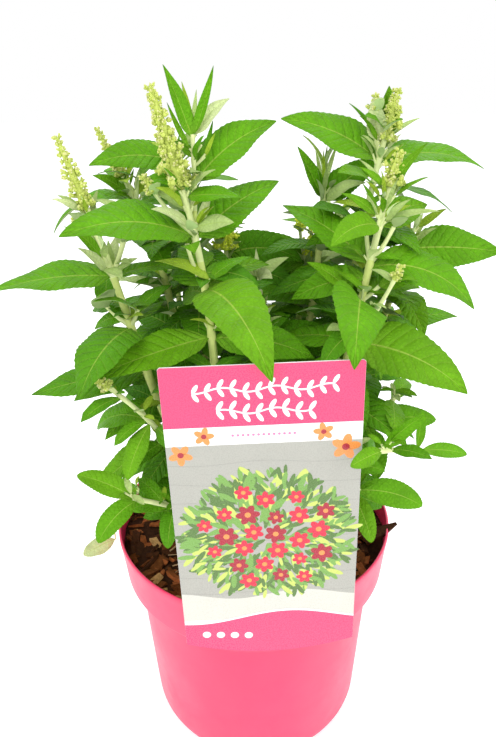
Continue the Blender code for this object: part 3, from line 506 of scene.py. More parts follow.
@dataclass
class TipLeaf:
    """A young leaf near the tip of a stem: 0 is the shoot itself and 1, 2, ... its side twigs
    in order. It stands below the stem's end, on a stalk of its own where reach is given."""
    stem: int
    below: float
    pose: Pose
    shade: int
    reach: float = 0.0
    leave: tuple = (0.0, 0.0)


TIP_LEAVES = {
    "middle_left": (
        TipLeaf(1, 3, Pose(8, 62, 24, 25, 0.9, 1.15), FELT, 3, (0, 60)),
        TipLeaf(1, 1, Pose(150, 84, 74, 26, 1.6, 0.45), FRESH),
        TipLeaf(1, 1, Pose(30, 82, 80, 22, 1.6, 0.45), PALE),
        TipLeaf(1, 9, Pose(200, 60, 70, 24, 1.2, 0.4), BRIGHT, 3, (190, 50)),
        TipLeaf(1, 16, Pose(30, 70, 74, 17, 1.2, 0.5), DEEP, 9, (0, 46)),
        TipLeaf(1, 16, Pose(-10, 66, 60, 13, 1.2, 0.6), FRESH, 8, (0, 40)),
        TipLeaf(0, 4, Pose(-20, 12, -10, 30, 0.7, 1.0), MIDDLE, 2, (-30, 20)),
        TipLeaf(0, 20, Pose(-30, 20, 0, 24, 0.8, 1.0), PALE, 2, (-30, 20))),
    "tall_right": (
        TipLeaf(0, 1, Pose(90, 84, 88, 27, 5.0, 1.45), BRIGHT, 5, (60, 30)),
        TipLeaf(0, 3, Pose(-150, 74, 84, 23, 3.0, 1.6), FELT, 5, (-150, 40)),
        TipLeaf(0, 2, Pose(150, 56, 34, 27, 1.0, 0.35), DEEP, 4, (150, 50)),
        TipLeaf(0, 2, Pose(15, 40, 14, 22, 1.0, 0.3), PALE, 5, (20, 50)),
        TipLeaf(0, 8, Pose(190, 74, 60, 17, 1.2, 0.8), DEEP, 5, (190, 50)),
        TipLeaf(0, 12, Pose(170, 20, 0, 13, 1.2, 0.5), PALE, 4, (180, 30))),
    "front_right": (
        TipLeaf(0, 1, Pose(-30, 66, 40, 26, 1.2, 0.6), BRIGHT, 3, (-20, 50)),
        TipLeaf(0, 3, Pose(60, 60, 40, 25, 1.2, 0.5), FRESH, 3, (60, 50)),
        TipLeaf(0, 5, Pose(150, 66, 30, 22, 1.2, 0.5), PALE, 3, (150, 50)),
        TipLeaf(0, 8, Pose(-120, 70, 50, 17, 1.4, 0.45), FRESH, 3, (-120, 50)),
        TipLeaf(0, 10, Pose(20, 62, 56, 24, 1.2, 0.35), PALE, 4, (20, 50)),
        TipLeaf(0, 14, Pose(-60, 74, 60, 18, 1.4, 0.4), PALE, 4, (-60, 50)),
        TipLeaf(0, 17, Pose(160, 50, 10, 22, 1.2, 0.6), BRIGHT, 4, (160, 40)),
        TipLeaf(0, 20, Pose(-8, 30, -6, 28, 1.0, 0.35), PALE, 4, (0, 30))),
    "inner_right": (
        TipLeaf(0, 0, Pose(60, 84, 80, 22, 1.6, 0.4), PALE),
        TipLeaf(0, 0, Pose(250, 80, 76, 20, 1.8, 0.35), FRESH),
        TipLeaf(0, 1, Pose(340, 76, 70, 25, 1.6, 0.4), PALE),
        TipLeaf(0, 4, Pose(120, 72, 66, 24, 1.6, 0.35), PALE, 2, (120, 60)),
        TipLeaf(0, 12, Pose(-40, 50, 0, 30, 1.0, 0.7), PALE, 3, (-40, 40))),
    "heart": (
        TipLeaf(0, 0, Pose(-60, 40, -20, 17, 1.6, 1.0), FELT, 25, (40, 84)),
        TipLeaf(-1, 0, Pose(172, 56, 4, 21, 1.4, 0.7), PALE),
        TipLeaf(-1, 0, Pose(8, 50, 12, 22, 1.4, 0.7), PALE),
        TipLeaf(-1, 1, Pose(100, 80, 70, 18, 1.4, 0.6), FELT),
        TipLeaf(-1, 5, Pose(250, -30, -60, 15, 1.8, 1.3), FELT),
        TipLeaf(0, 0, Pose(200, 40, 0, 24, 1.2, 0.8), PALE),
        TipLeaf(0, 20, Pose(14, 14, -16, 62, 1.2, 1.05), DEEP)),
    "back_middle": (
        TipLeaf(0, 3, Pose(-6, 26, -34, 52, 1.5, 1.0), DEEP),
        TipLeaf(0, 5, Pose(20, 46, 10, 34, 1.2, 0.8), PALE),
        TipLeaf(0, 12, Pose(-20, 10, -30, 50, 1.3, 1.0), DARK)),
    "back_right": (
        TipLeaf(0, 14, Pose(186, 20, -20, 56, 1.5, 1.0), DARK),
        TipLeaf(0, 4, Pose(150, 50, 20, 30, 1.2, 0.7), PALE)),
    "rim_left": (
        TipLeaf(0, 0, Pose(216, 4, -12, 24, 0.6, 1.35), FELT, 19, (-72, -14)),),
}


# ---------------------------------------------------------------- growth

def direction(heading, climb):
    """A unit vector: heading is measured from +X towards +Y, climb is up from level."""
    level = math.cos(math.radians(climb))
    return Vector((level * math.cos(math.radians(heading)),
                   level * math.sin(math.radians(heading)),
                   math.sin(math.radians(climb))))


class Path:
    """A smooth curve from a start to an end, measured along its length in millimetres."""

    def __init__(self, start, leave, end, arrive):
        span = (end - start).length
        first = start + leave * span * PATH_PULL
        second = end - arrive * span * PATH_PULL
        self.points = []
        self.marks = [0.0]
        for step in range(PATH_STEPS + 1):
            t = step / PATH_STEPS
            self.points.append(start * (1 - t) ** 3 + first * 3 * t * (1 - t) ** 2
                               + second * 3 * t * t * (1 - t) + end * t ** 3)
        for low, high in zip(self.points, self.points[1:]):
            self.marks.append(self.marks[-1] + (high - low).length)
        self.length = self.marks[-1]

    def at(self, distance):
        for step in range(PATH_STEPS):
            if distance <= self.marks[step + 1] or step == PATH_STEPS - 1:
                span = self.marks[step + 1] - self.marks[step]
                share = (distance - self.marks[step]) / span
                return self.points[step].lerp(self.points[step + 1], share)

    def heading(self, distance):
        reach = self.length / PATH_STEPS
        low = max(0.0, distance - reach)
        high = min(self.length, distance + reach)
        return (self.at(high) - self.at(low)).normalized()


def straight(start, along, length):
    return Path(start, along, start + along * length, along)


def round_loop(bm, middle, across, beside, radius, sides):
    turns = [math.tau * side / sides for side in range(sides)]
    return [bm.verts.new(middle + radius * (across * math.cos(turn) + beside * math.sin(turn)))
            for turn in turns]


def bridge(bm, loops):
    count = len(loops[0])
    for low, high in zip(loops, loops[1:]):
        for side in range(count):
            after = (side + 1) % count
            bm.faces.new((low[side], low[after], high[after], high[side]))


def tube(path, start, end, start_radius, end_radius, sides):
    """A plain limb, which only keeps its space in the tests for clear growth."""
    rings = max(1, round((end - start) / RING_SPACING))
    bm = bmesh.new()
    across = Vector(FIRST_ACROSS)
    loops = []
    for ring in range(rings + 1):
        share = ring / rings
        middle = path.at(start + (end - start) * share)
        along = path.heading(start + (end - start) * share)
        across = (across - along * across.dot(along)).normalized()
        radius = start_radius + (end_radius - start_radius) * share
        loops.append(round_loop(bm, middle, across, along.cross(across), radius, sides))
    bridge(bm, loops)
    return bm


@dataclass
class Leaf:
    """A leaf: rise and fall are its slope at the root and at the tip, and its upper side
    turns towards the light. age runs from 0 at a shoot's tip to 1 at its foot."""
    root: Vector
    heading: float
    rise: float
    fall: float
    length: float
    light: Vector
    width: float
    plain: bool
    age: float
    shade: int = None

    def spine(self, share):
        """Midrib point, sideways axis and upward axis at a share of the length."""
        place = self.root.copy()
        steps = max(1, round(SPINE_STEPS * share))
        for step in range(steps):
            middle = share * (step + 0.5) / steps
            place += direction(self.heading, self.slope(middle)) * self.length * share / steps
        along = direction(self.heading, self.slope(share))
        up = (self.light - along * along.dot(self.light)).normalized()
        return place, up.cross(along), up

    def slope(self, share):
        return self.rise + (self.fall - self.rise) * share


def leaf_solid(leaf, grow=0.0, skip=0.0):
    """The plain blade that keeps a leaf's space."""
    stations = PLAIN_LEAF_STATIONS if leaf.plain else LEAF_STATIONS
    half_width = leaf.width * leaf.length
    thick = max(LEAF_LEAST_THICKNESS, LEAF_THICKNESS * leaf.length)
    bm = bmesh.new()
    loops = []
    for share, wide in stations:
        middle, across, up = leaf.spine(max(share, skip))
        side = across * (half_width * wide + grow)
        loops.append([bm.verts.new(middle + side + up * grow),
                      bm.verts.new(middle - side + up * grow),
                      bm.verts.new(middle - up * (thick + grow))])
    end = bm.verts.new(leaf.spine(1.0)[0])
    bm.faces.new(loops[0])
    bridge(bm, loops)
    for side in range(3):
        bm.faces.new((loops[-1][(side + 1) % 3], loops[-1][side], end))
    return bm


def bud_spike(start, along, length, radius):
    """The plain spike that keeps a flower cluster's space."""
    rings = max(2, round(length / BUD_RING_STEP))
    across = along.orthogonal().normalized()
    bm = bmesh.new()
    loops = []
    for ring in range(2 * rings):
        share = (ring + 0.5) / (2 * rings)
        swell = radius * (1.0 - BUD_TAPER * share) * (1.0 if ring % 2 else BUD_WAIST)
        middle = start + along * length * share
        loops.append(round_loop(bm, middle, across, along.cross(across), swell, BUD_SIDES))
    bridge(bm, loops)
    return bm


def bounds(bm):
    low = [min(vert.co[axis] for vert in bm.verts) for axis in range(3)]
    high = [max(vert.co[axis] for vert in bm.verts) for axis in range(3)]
    return low, high


class Space:
    """Remembers what is already grown, so that a leaf that would touch it can be left out."""

    def __init__(self):
        self.taken = []

    def add(self, owner, whole, beyond_root=None):
        own = BVHTree.FromBMesh(beyond_root) if beyond_root else None
        self.taken.append((owner, BVHTree.FromBMesh(whole), own, *bounds(whole)))

    def add_node(self, name):
        """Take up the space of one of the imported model's solids."""
        bm = bmesh.new()
        bm.from_mesh(frame["nodes"][name].data)
        bmesh.ops.scale(bm, vec=(1 / MM, 1 / MM, 1 / MM), verts=bm.verts)
        self.add(name, bm)
        bm.free()

    def free(self, owner, whole, beyond_root, carrier=None):
        """carrier is a limb that the leaf is rooted in, whatever its owner."""
        tree, own_tree = BVHTree.FromBMesh(whole), BVHTree.FromBMesh(beyond_root)
        low, high = bounds(whole)
        for other, other_tree, other_own, other_low, other_high in self.taken:
            apart = any(low[axis] > other_high[axis] or high[axis] < other_low[axis]
                        for axis in range(3))
            if apart or other == carrier:
                continue
            if other != owner and tree.overlap(other_tree):
                return False
            if other == owner and other_own and own_tree.overlap(other_own):
                return False
        return True


@dataclass
class Stem:
    """A length of shoot or twig to be dressed, with the distances of its leaf nodes."""
    path: Path
    start: float
    end: float
    start_radius: float
    end_radius: float
    nodes: list


@dataclass
class Cluster:
    """A spike of flower buds."""
    start: Vector
    along: Vector
    length: float
    radius: float


class Mass:
    """One shoot's limbs and leaves while it grows."""

    def __init__(self, shoot, number, low):
        self.shoot = shoot
        self.low = low
        self.number = number
        self.owner = "foliage_" + shoot.name
        self.rng = random.Random(SEED * 100 + number)
        self.fine_rng = random.Random(SEED * 1000 + number)
        start = Vector((0.0, 0.0, shoot.height))
        self.path = Path(start, direction(shoot.heading, shoot.climb), Vector(shoot.tip),
                         direction(shoot.lean, shoot.steep))
        self.start = STUB_LENGTH if low else shoot.bare
        self.kept = []
        self.stems = []
        self.clusters = []
        self.leaves = []
        self.wanted = []
        self.axils = []

    def grow_stems(self):
        shoot = self.shoot
        foot = LOW_FOOT_RADIUS if self.low else MASS_FOOT_RADIUS
        tip = LOW_TIP_RADIUS if self.low else SHOOT_TIP_RADIUS
        begin = self.start + GAP
        end = self.path.length
        self.kept.append(tube(self.path, begin, end, foot, tip, SHOOT_SIDES))
        stem = Stem(self.path, self.start, end, foot, tip, [])
        self.stems.append(stem)
        if shoot.bud:
            along = self.path.heading(end)
            self.add_cluster(self.path.at(end) - along, along, shoot.bud, shoot.bud_radius)
        self.plan_pairs(begin + LEAFLESS_FOOT, stem)
        for side in shoot.sides:
            self.grow_side(side)

    def add_cluster(self, start, along, length, radius):
        self.kept.append(bud_spike(start, along, length, radius))
        self.clusters.append(Cluster(start, along, length, radius))

    def plan_pairs(self, lowest, stem):
        """Leaf pairs from the tip down, each square to the one above."""
        shoot = self.shoot
        leafy = self.path.length - lowest
        distance = self.path.length - shoot.first_gap
        pair = 0
        while distance > lowest:
            share = (self.path.length - distance) / leafy
            grown = shoot.tip_leaf + (1 - shoot.tip_leaf) * min(1.0, share / FULL_SIZE_SHARE)
            shrunk = max(0.0, share - LOW_LEAF_SHARE) / (1 - LOW_LEAF_SHARE)
            length = shoot.leaf * grown * (1.0 - LOW_LEAF_LOSS * shrunk)
            rise = shoot.upright * (1.0 - RISE_LOSS * share) + LEAST_RISE
            stem.nodes.append(distance)
            for side in (0, 1):
                turn = shoot.phase + 90 * pair + 180 * side
                pose = Pose(turn + self.spread(TURN_SPREAD), rise + self.spread(RISE_SPREAD),
                            rise - DROOP - DROOP_GAIN * share + self.spread(DROOP_SPREAD),
                            length * self.rng.uniform(*LEAF_LENGTHS))
                self.want(self.path, distance, side, shoot.posed.get((pair, side), pose),
                          (pair, side) not in shoot.posed, share)
            distance -= shoot.internode * self.rng.uniform(*INTERNODES)
            pair += 1

    def spread(self, reach):
        return self.rng.uniform(-reach, reach)

    def want(self, path, distance, side, pose, plain, age):
        """Plan a leaf at a node of a path; it is placed later, where there is room."""
        lift = PAIR_OFFSET if side else -PAIR_OFFSET
        root = path.at(distance) + path.heading(distance) * lift
        root += direction(pose.heading, 0) * LEAF_SINK
        outward = Vector((root.x, root.y, 0.0)) / RIM_RADIUS
        light = Vector((self.spread(LIGHT_SPREAD), self.spread(LIGHT_SPREAD) - pose.front, 1.0))
        width = LEAF_HALF_WIDTH * pose.width * self.rng.uniform(*LEAF_WIDTHS)
        self.wanted.append(Leaf(root, pose.heading, pose.rise, pose.fall, pose.length,
                                light + outward * LIGHT_OUTWARD, width, plain, age))
        self.axils.append((path, distance, pose.heading, pose.length, age))

    def grow_side(self, side):
        """A thin twig from a leaf's axil, with its own small leaves and perhaps buds."""
        shoot = self.shoot
        distance = self.path.length - shoot.first_gap - side.pair * shoot.internode
        start = self.path.at(distance + TWIG_AXIL_LIFT)
        leave = direction(side.heading, side.climb)
        arrive = direction(side.heading, min(TWIG_STEEPEST, side.climb + TWIG_CURL))
        path = Path(start, leave, start + (leave + arrive).normalized() * side.length, arrive)
        self.kept.append(tube(path, 0.0, path.length, TWIG_FOOT_RADIUS, TWIG_TIP_RADIUS,
                              TWIG_SIDES))
        self.stems.append(Stem(path, 0.0, path.length, TWIG_FOOT_RADIUS, TWIG_TIP_RADIUS,
                               [path.length * share for share in TWIG_NODES[side.pairs]]))
        if side.bud:
            self.add_cluster(path.at(path.length) - arrive, arrive, side.bud,
                             TWIG_BUD_SLIMNESS * side.bud)
        for pair, share in enumerate(TWIG_NODES[side.pairs]):
            for hand in (0, 1):
                turn = side.heading + 90 + 90 * pair + 180 * hand
                rise = side.spread + self.spread(TWIG_LEAF_RISE)
                pose = Pose(turn + self.spread(TWIG_LEAF_TURN), rise, rise - TWIG_LEAF_DROOP,
                            side.leaf * self.rng.uniform(*TWIG_LEAF_LENGTHS))
                self.want(path, path.length * share, hand, side.posed.get((pair, hand), pose),
                          (pair, hand) not in side.posed, TWIG_AGE)

    def keep(self, leaf, space, root_share):
        """Let a leaf take up its space; near its root it may touch its own shoot's leaves."""
        space.add(self.owner, leaf_solid(leaf), leaf_solid(leaf, 0.0, root_share))
        self.leaves.append(leaf)

    def place(self, leaf, space, clearance, root_share, carrier=None):
        """Keep a leaf if it stands clear, and say whether it does."""
        clear = space.free(self.owner, leaf_solid(leaf, clearance),
                           leaf_solid(leaf, clearance, root_share), carrier)
        if clear:
            self.keep(leaf, space, root_share)
        return clear

    def settle(self, leaf, space):
        """Place a leaf where it is clear, after a few second tries, or leave it out."""
        for turn, lift, shorter in SECOND_TRIES:
            tried = replace(leaf, heading=leaf.heading + turn, rise=leaf.rise + lift,
                            fall=leaf.fall + lift, length=leaf.length * shorter)
            if self.place(tried, space, LEAF_CLEARANCE, ROOT_SHARE):
                return

    def grow_between(self, space):
        """Smaller leaves between the nodes and along the bough, where it is dim and full."""
        rng = self.fine_rng
        shoot = self.shoot
        carrier = "bough_" + shoot.name
        top = self.path.length - shoot.first_gap - BETWEEN_TOP
        distance = BETWEEN_LOW_FOOT if self.low else BETWEEN_FOOT
        while distance < top:
            age = max(0.5, 1 - distance / self.path.length)
            for _ in range(1 if self.low else 3):
                turn = rng.uniform(0, 360)
                size = shoot.leaf * rng.uniform(*BETWEEN_LEAF)
                rise = rng.uniform(*BETWEEN_RISE)
                root = self.path.at(distance + rng.uniform(-3, 3))
                root += direction(turn, 0) * LEAF_SINK
                light = Vector((rng.uniform(-0.3, 0.3), rng.uniform(-0.75, -0.1), 1.0))
                light += Vector((root.x, root.y, 0.0)) / RIM_RADIUS * LIGHT_OUTWARD
                if (shoot.tip[1] < FRONT_SHOOT_Y and root.z > BARE_FRONT_FOOT
                        and direction(turn, 0).y < BARE_FRONT_TURN):
                    continue
                for turned_by, shorter in BETWEEN_TRIES:
                    leaf = Leaf(root, turn + turned_by, rise, rise - rng.uniform(*BETWEEN_DROOP),
                                size * shorter, light, LEAF_HALF_WIDTH * rng.uniform(0.9, 1.1),
                                True, age)
                    if self.place(leaf, space, FINE_CLEARANCE, BETWEEN_ROOT_SHARE, carrier):
                        break
            distance += rng.uniform(*BETWEEN_STEPS)

    def grow_tip_leaves(self, space):
        """The young leaves that show at the tips, which may stand close to one another."""
        for tip_leaf in TIP_LEAVES.get(self.shoot.name, ()):
            path = self.stems[tip_leaf.stem].path
            pose = tip_leaf.pose
            root = path.at(path.length - max(0.0, tip_leaf.below))
            if tip_leaf.reach:
                twig = straight(root, direction(*tip_leaf.leave), tip_leaf.reach)
                self.stems.append(Stem(twig, -0.5, tip_leaf.reach, 0.5, 0.4, []))
                root = twig.at(tip_leaf.reach)
            leaf = Leaf(root, pose.heading, pose.rise, pose.fall, pose.length,
                        Vector((0.0, -pose.front, 1.0)), LEAF_HALF_WIDTH * pose.width, False,
                        0.0, tip_leaf.shade)
            self.keep(leaf, space, ROOT_SHARE)

    def grow_tuft(self, space):
        """Narrow young leaves that stand up round the shoot's tip and its first nodes."""
        rng = self.fine_rng
        if self.low:
            return
        gap = self.shoot.first_gap
        for level, below in enumerate(TUFT_LEVELS):
            distance = self.path.length - gap * below - (6 if gap < 12 else 2)
            along = self.path.heading(distance)
            for _ in range(5 if level % 2 else 4):
                turn = rng.uniform(0, 360)
                reach = rng.uniform(*TUFT_TWIG)
                twig = straight(self.path.at(distance),
                                (direction(turn, 20) + along * 1.2).normalized(), reach)
                length = rng.uniform(*TUFT_LEAF) * (0.7 + 0.3 * below)
                rise = rng.uniform(*TUFT_RISE)
                leaf = Leaf(twig.at(reach), turn, rise, rise - rng.uniform(*TUFT_DROOP), length,
                            Vector((rng.uniform(-0.5, 0.5), rng.uniform(-1.4, -0.4), 1.0)),
                            LEAF_HALF_WIDTH * rng.uniform(0.5, 0.85), True, 0.0)
                if self.place(leaf, space, FINE_CLEARANCE, FINE_ROOT_SHARE):
                    self.stems.append(Stem(twig, -1.0, reach, 0.6, 0.45, []))

    def grow_fine(self, space):
        """Short twiglets in the leaf axils, each with a pair or two of small young leaves."""
        rng = self.fine_rng
        for path, distance, heading, size, age in self.axils:
            if size < FINE_LEAST_HOST or distance > path.length - 2.5:
                continue
            start = path.at(distance) + path.heading(distance) * 1.2
            climb = rng.uniform(*FINE_CLIMB)
            along = direction(heading + rng.uniform(-22, 22), climb)
            reach = rng.uniform(*FINE_TWIG) * (0.8 + 0.6 * age)
            twig = straight(start, along, reach)
            grown = False
            for pair, share in enumerate((0.97, 0.5) if reach > 8 else (0.97,)):
                for hand in (0, 1):
                    length = max(FINE_LEAST, size * rng.uniform(*FINE_LEAF))
                    turn = heading + 90 * (pair + 1) + 180 * hand + rng.uniform(-25, 25)
                    rise = rng.uniform(*FINE_RISE)
                    light = Vector((rng.uniform(-0.3, 0.3), rng.uniform(-0.7, -0.1), 1.0))
                    leaf = Leaf(twig.at(reach * share), turn, rise, rise - FINE_DROOP, length,
                                light, LEAF_HALF_WIDTH * rng.uniform(0.8, 1.0), True,
                                0.1 + 0.5 * age)
                    if self.place(leaf, space, FINE_CLEARANCE, FINE_ROOT_SHARE):
                        grown = True
            if grown:
                self.stems.append(Stem(twig, -1.0, reach, 0.55, 0.4, []))


@functools.lru_cache(maxsize=1)
def grown_masses():
    """All of the masses, grown by the rule that the solids were grown by, then finer."""
    space = Space()
    for name in ("pot", "compost", "label_card", "main_stem"):
        space.add_node(name)
    masses = [Mass(shoot, number, number >= len(SHOOTS))
              for number, shoot in enumerate(SHOOTS + TWIGS)]
    for mass in masses:
        mass.grow_stems()
        for bm in mass.kept:
            space.add(mass.owner, bm)
        if not mass.low:
            space.add("bough_" + mass.shoot.name,
                      tube(mass.path, STUB_LENGTH + GAP, mass.start, BOUGH_FOOT_RADIUS,
                           MASS_FOOT_RADIUS, BOUGH_SIDES))
    for late in (False, True):
        for mass in masses:
            for leaf in mass.wanted:
                if leaf.plain == late:
                    mass.settle(leaf, space)
    for grow in (Mass.grow_tip_leaves, Mass.grow_tuft, Mass.grow_between, Mass.grow_fine):
        for mass in masses:
            grow(mass, space)
    return masses


# ---------------------------------------------------------------- materials

class Finish:
    """One material, with short calls for the nodes round its Principled shader."""

    def __init__(self, name, color, roughness, **constants):
        self.material = bpy.data.materials.new(name)
        self.material.use_nodes = True
        self.tree = self.material.node_tree
        self.shader = self.tree.nodes["Principled BSDF"]
        self.shader.inputs["Base Color"].default_value = (*color, 1.0)
        self.shader.inputs["Roughness"].default_value = roughness
        for socket, value in constants.items():
            self.shader.inputs[socket.replace("_", " ")].default_value = value
        self.place = self.tree.nodes.new("ShaderNodeTexCoord").outputs["Object"]

    def node(self, kind, inputs=None, **settings):
        made = self.tree.nodes.new(kind)
        for name, value in settings.items():
            setattr(made, name, value)
        for socket, value in (inputs or {}).items():
            if isinstance(value, bpy.types.NodeSocket):
                self.tree.links.new(value, made.inputs[socket])
            else:
                made.inputs[socket].default_value = value
        return made

    def noise(self, scale, detail=4.0):
        return self.node("ShaderNodeTexNoise",
                         {"Vector": self.place, "Scale": scale, "Detail": detail,
                          "Roughness": 0.6}).outputs["Fac"]

    def remap(self, value, low, high, to_low, to_high):
        return self.node("ShaderNodeMapRange",
                         {"Value": value, "From Min": low, "From Max": high,
                          "To Min": to_low, "To Max": to_high}).outputs["Result"]

    def math(self, operation, first, second=0.0):
        return self.node("ShaderNodeMath", {0: first, 1: second}, operation=operation).outputs[0]

    def ramp(self, value, stops):
        """Blend colours over a value; stops are (place, colour)."""
        made = self.node("ShaderNodeValToRGB", {"Fac": value})
        ramp = made.color_ramp
        for number, (place, color) in enumerate(stops):
            item = ramp.elements[number] if number < 2 else ramp.elements.new(place)
            item.position = place
            item.color = (*color, 1.0)
        return made.outputs["Color"]

    def blend(self, share, first, second):
        return self.node("ShaderNodeMix", {0: share, 6: first, 7: second},
                         data_type="RGBA").outputs[2]

    def feed(self, socket, value):
        self.tree.links.new(value, self.shader.inputs[socket])

    def bump(self, height, strength, distance):
        relief = self.node("ShaderNodeBump", {"Height": height, "Strength": strength,
                                              "Distance": distance})
        self.feed("Normal", relief.outputs["Normal"])


def shaded(color, amount):
    return tuple(min(1.0, part * amount) for part in color)


def mottled(name, color, roughness, scale, spread=0.2, grain=900.0, depth=0.0002,
            strength=0.4, **constants):
    """A plain colour with soft patches, a fine grain and uneven gloss."""
    finish = Finish(name, color, roughness, **constants)
    patches = finish.noise(scale)
    finish.feed("Base Color", finish.ramp(patches, [(0.3, shaded(color, 1 - spread)),
                                                    (0.7, shaded(color, 1 + spread))]))
    fine = finish.noise(grain, 2.0)
    finish.feed("Roughness", finish.remap(fine, 0.3, 0.7, roughness - 0.06, roughness + 0.06))
    finish.bump(fine, strength, depth)
    return finish.material


def blade_finish(name, color, roughness, veins=1.0):
    """A leaf's upper side: slanted side veins with the blade quilted between them."""
    finish = Finish(name, color, roughness, Specular_IOR_Level=0.1)
    parts = finish.node("ShaderNodeSeparateXYZ",
                        {0: finish.node("ShaderNodeUVMap", uv_map="blade").outputs[0]})
    along = parts.outputs[0]
    soft = finish.math("GREATER_THAN", parts.outputs[1], 1.5)
    relief = finish.math("MULTIPLY", finish.math("SUBTRACT", 1.0,
                                                 finish.math("MULTIPLY", soft, SOFT_LOSS)),
                         veins)
    across = finish.math("FRACT", parts.outputs[1])
    aside = finish.math("ABSOLUTE", finish.math("SUBTRACT", across, 0.5))
    phase = finish.math("SUBTRACT", finish.math("MULTIPLY", along, VEIN_PAIRS),
                        finish.math("MULTIPLY", aside, VEIN_SLANT))
    cycle = finish.math("ABSOLUTE", finish.math("SUBTRACT",
                                                finish.math("FRACT", phase), 0.5))
    line = finish.remap(cycle, 0.38, 0.5, 0.0, 1.0)
    patches = finish.noise(70.0)
    tint = finish.ramp(patches, [(0.28, shaded(color, 0.78)), (0.5, color),
                                 (0.74, shaded(color, 1.20))])
    margin = finish.blend(finish.remap(aside, 0.10, 0.5, 0.0, 0.5), tint,
                          (*shaded(color, 0.72), 1.0))
    pale = tuple(part * 0.5 + 0.5 * light for part, light in zip(color, RIB_COLOR))
    shown = finish.math("MULTIPLY", finish.math("MULTIPLY", line, relief), VEIN_TINT)
    veined = finish.blend(shown, margin, (*pale, 1.0))
    foot = finish.blend(finish.remap(along, 0.0, 0.30, 0.45, 0.0), veined, (*pale, 1.0))
    reach = finish.math("SUBTRACT", RIB_SHARE, finish.math("MULTIPLY", along, RIB_SHARE * 0.7))
    rib = finish.remap(finish.math("DIVIDE", aside, reach), 0.5, 1.4, 0.62, 0.0)
    net = finish.node("ShaderNodeTexVoronoi", {"Vector": finish.place, "Scale": NET_SCALE},
                      feature="DISTANCE_TO_EDGE").outputs["Distance"]
    fine = finish.remap(net, 0.0, 0.3, 0.0, 1.0)
    # painted shade: the colour darkens along the fine vein net, in the furrows that its bump
    # makes
    net_painted_shade = finish.blend(finish.remap(net, 0.0, 0.22, 0.30, 0.0), foot,
                           (*shaded(color, 0.62), 1.0))
    finish.feed("Base Color", finish.blend(rib, net_painted_shade, (*RIB_COLOR, 1.0)))
    furrow = finish.math("POWER", finish.math("MULTIPLY", cycle, 2.0), 3.0)
    swell = finish.math("MULTIPLY", furrow, finish.math("MULTIPLY", relief, -1.3))
    finish.feed("Roughness", finish.remap(patches, 0.3, 0.7, roughness - 0.05,
                                          roughness + 0.07))
    finish.bump(finish.math("ADD", swell, finish.math("MULTIPLY", fine, 0.55)), 0.75, 0.0006)
    return finish.material


# ---------------------------------------------------------------- meshes

def made_object(name, bm, size=1.0):
    """A new object from a bmesh, which is scaled and then freed."""
    bmesh.ops.scale(bm, vec=(size, size, size), verts=bm.verts)
    mesh = bpy.data.meshes.new(name)
    bm.to_mesh(mesh)
    bm.free()
    return bpy.data.objects.new(name, mesh)


def add_piece(name, bm, materials, nodes=(), smooth=40.0):
    """A finished piece from a bmesh in millimetres, which rides on the plant's one body."""
    piece = made_object(name, bm, MM)
    for material in materials:
        piece.data.materials.append(material)
    piece.data.shade_smooth()
    piece.data.set_sharp_from_angle(angle=math.radians(smooth))
    bpy.context.scene.collection.objects.link(piece)
    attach(piece, "root")
    if nodes:
        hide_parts(*nodes)
    return piece


def turned(profile, sides):
    """A solid of revolution about Z from a profile that starts and ends on the axis."""
    bm = bmesh.new()
    points = [bm.verts.new((radius, 0.0, z)) for radius, z in profile]
    edges = [bm.edges.new(pair) for pair in zip(points, points[1:])]
    bmesh.ops.spin(bm, geom=points + edges, cent=(0, 0, 0), axis=(0, 0, 1),
                   angle=math.tau, steps=sides, use_merge=True)
    bmesh.ops.remove_doubles(bm, verts=bm.verts, dist=0.01)
    bmesh.ops.recalc_face_normals(bm, faces=bm.faces)
    return bm


def arc(middle, radius, start, end, steps):
    """Points of an arc in a profile, angles from the outward direction."""
    turns = [math.radians(start + (end - start) * step / steps) for step in range(steps + 1)]
    return [(middle[0] + radius * math.cos(turn), middle[1] + radius * math.sin(turn))
            for turn in turns]


class Template:
    """A small mesh that is laid many times over, each time with its points moved."""

    def __init__(self, bm):
        self.mesh = bpy.data.meshes.new("template")
        bm.to_mesh(self.mesh)
        bm.free()
        points = np.empty(len(self.mesh.vertices) * 3, dtype=np.float32)
        self.mesh.vertices.foreach_get("co", points)
        self.points = points.reshape(-1, 3).astype(float)
        kinds = np.empty(len(self.mesh.polygons), dtype=np.int32)
        self.mesh.polygons.foreach_get("material_index", kinds)
        self.kinds = kinds

    def lay(self, bm, points, materials):
        """Add a copy to bm with these points; materials are slots for the face kinds."""
        self.mesh.vertices.foreach_set("co", np.ascontiguousarray(points,
                                                                  dtype=np.float32).ravel())
        slots = np.asarray(materials, dtype=np.int32)[self.kinds]
        self.mesh.polygons.foreach_set("material_index", slots)
        bm.from_mesh(self.mesh)


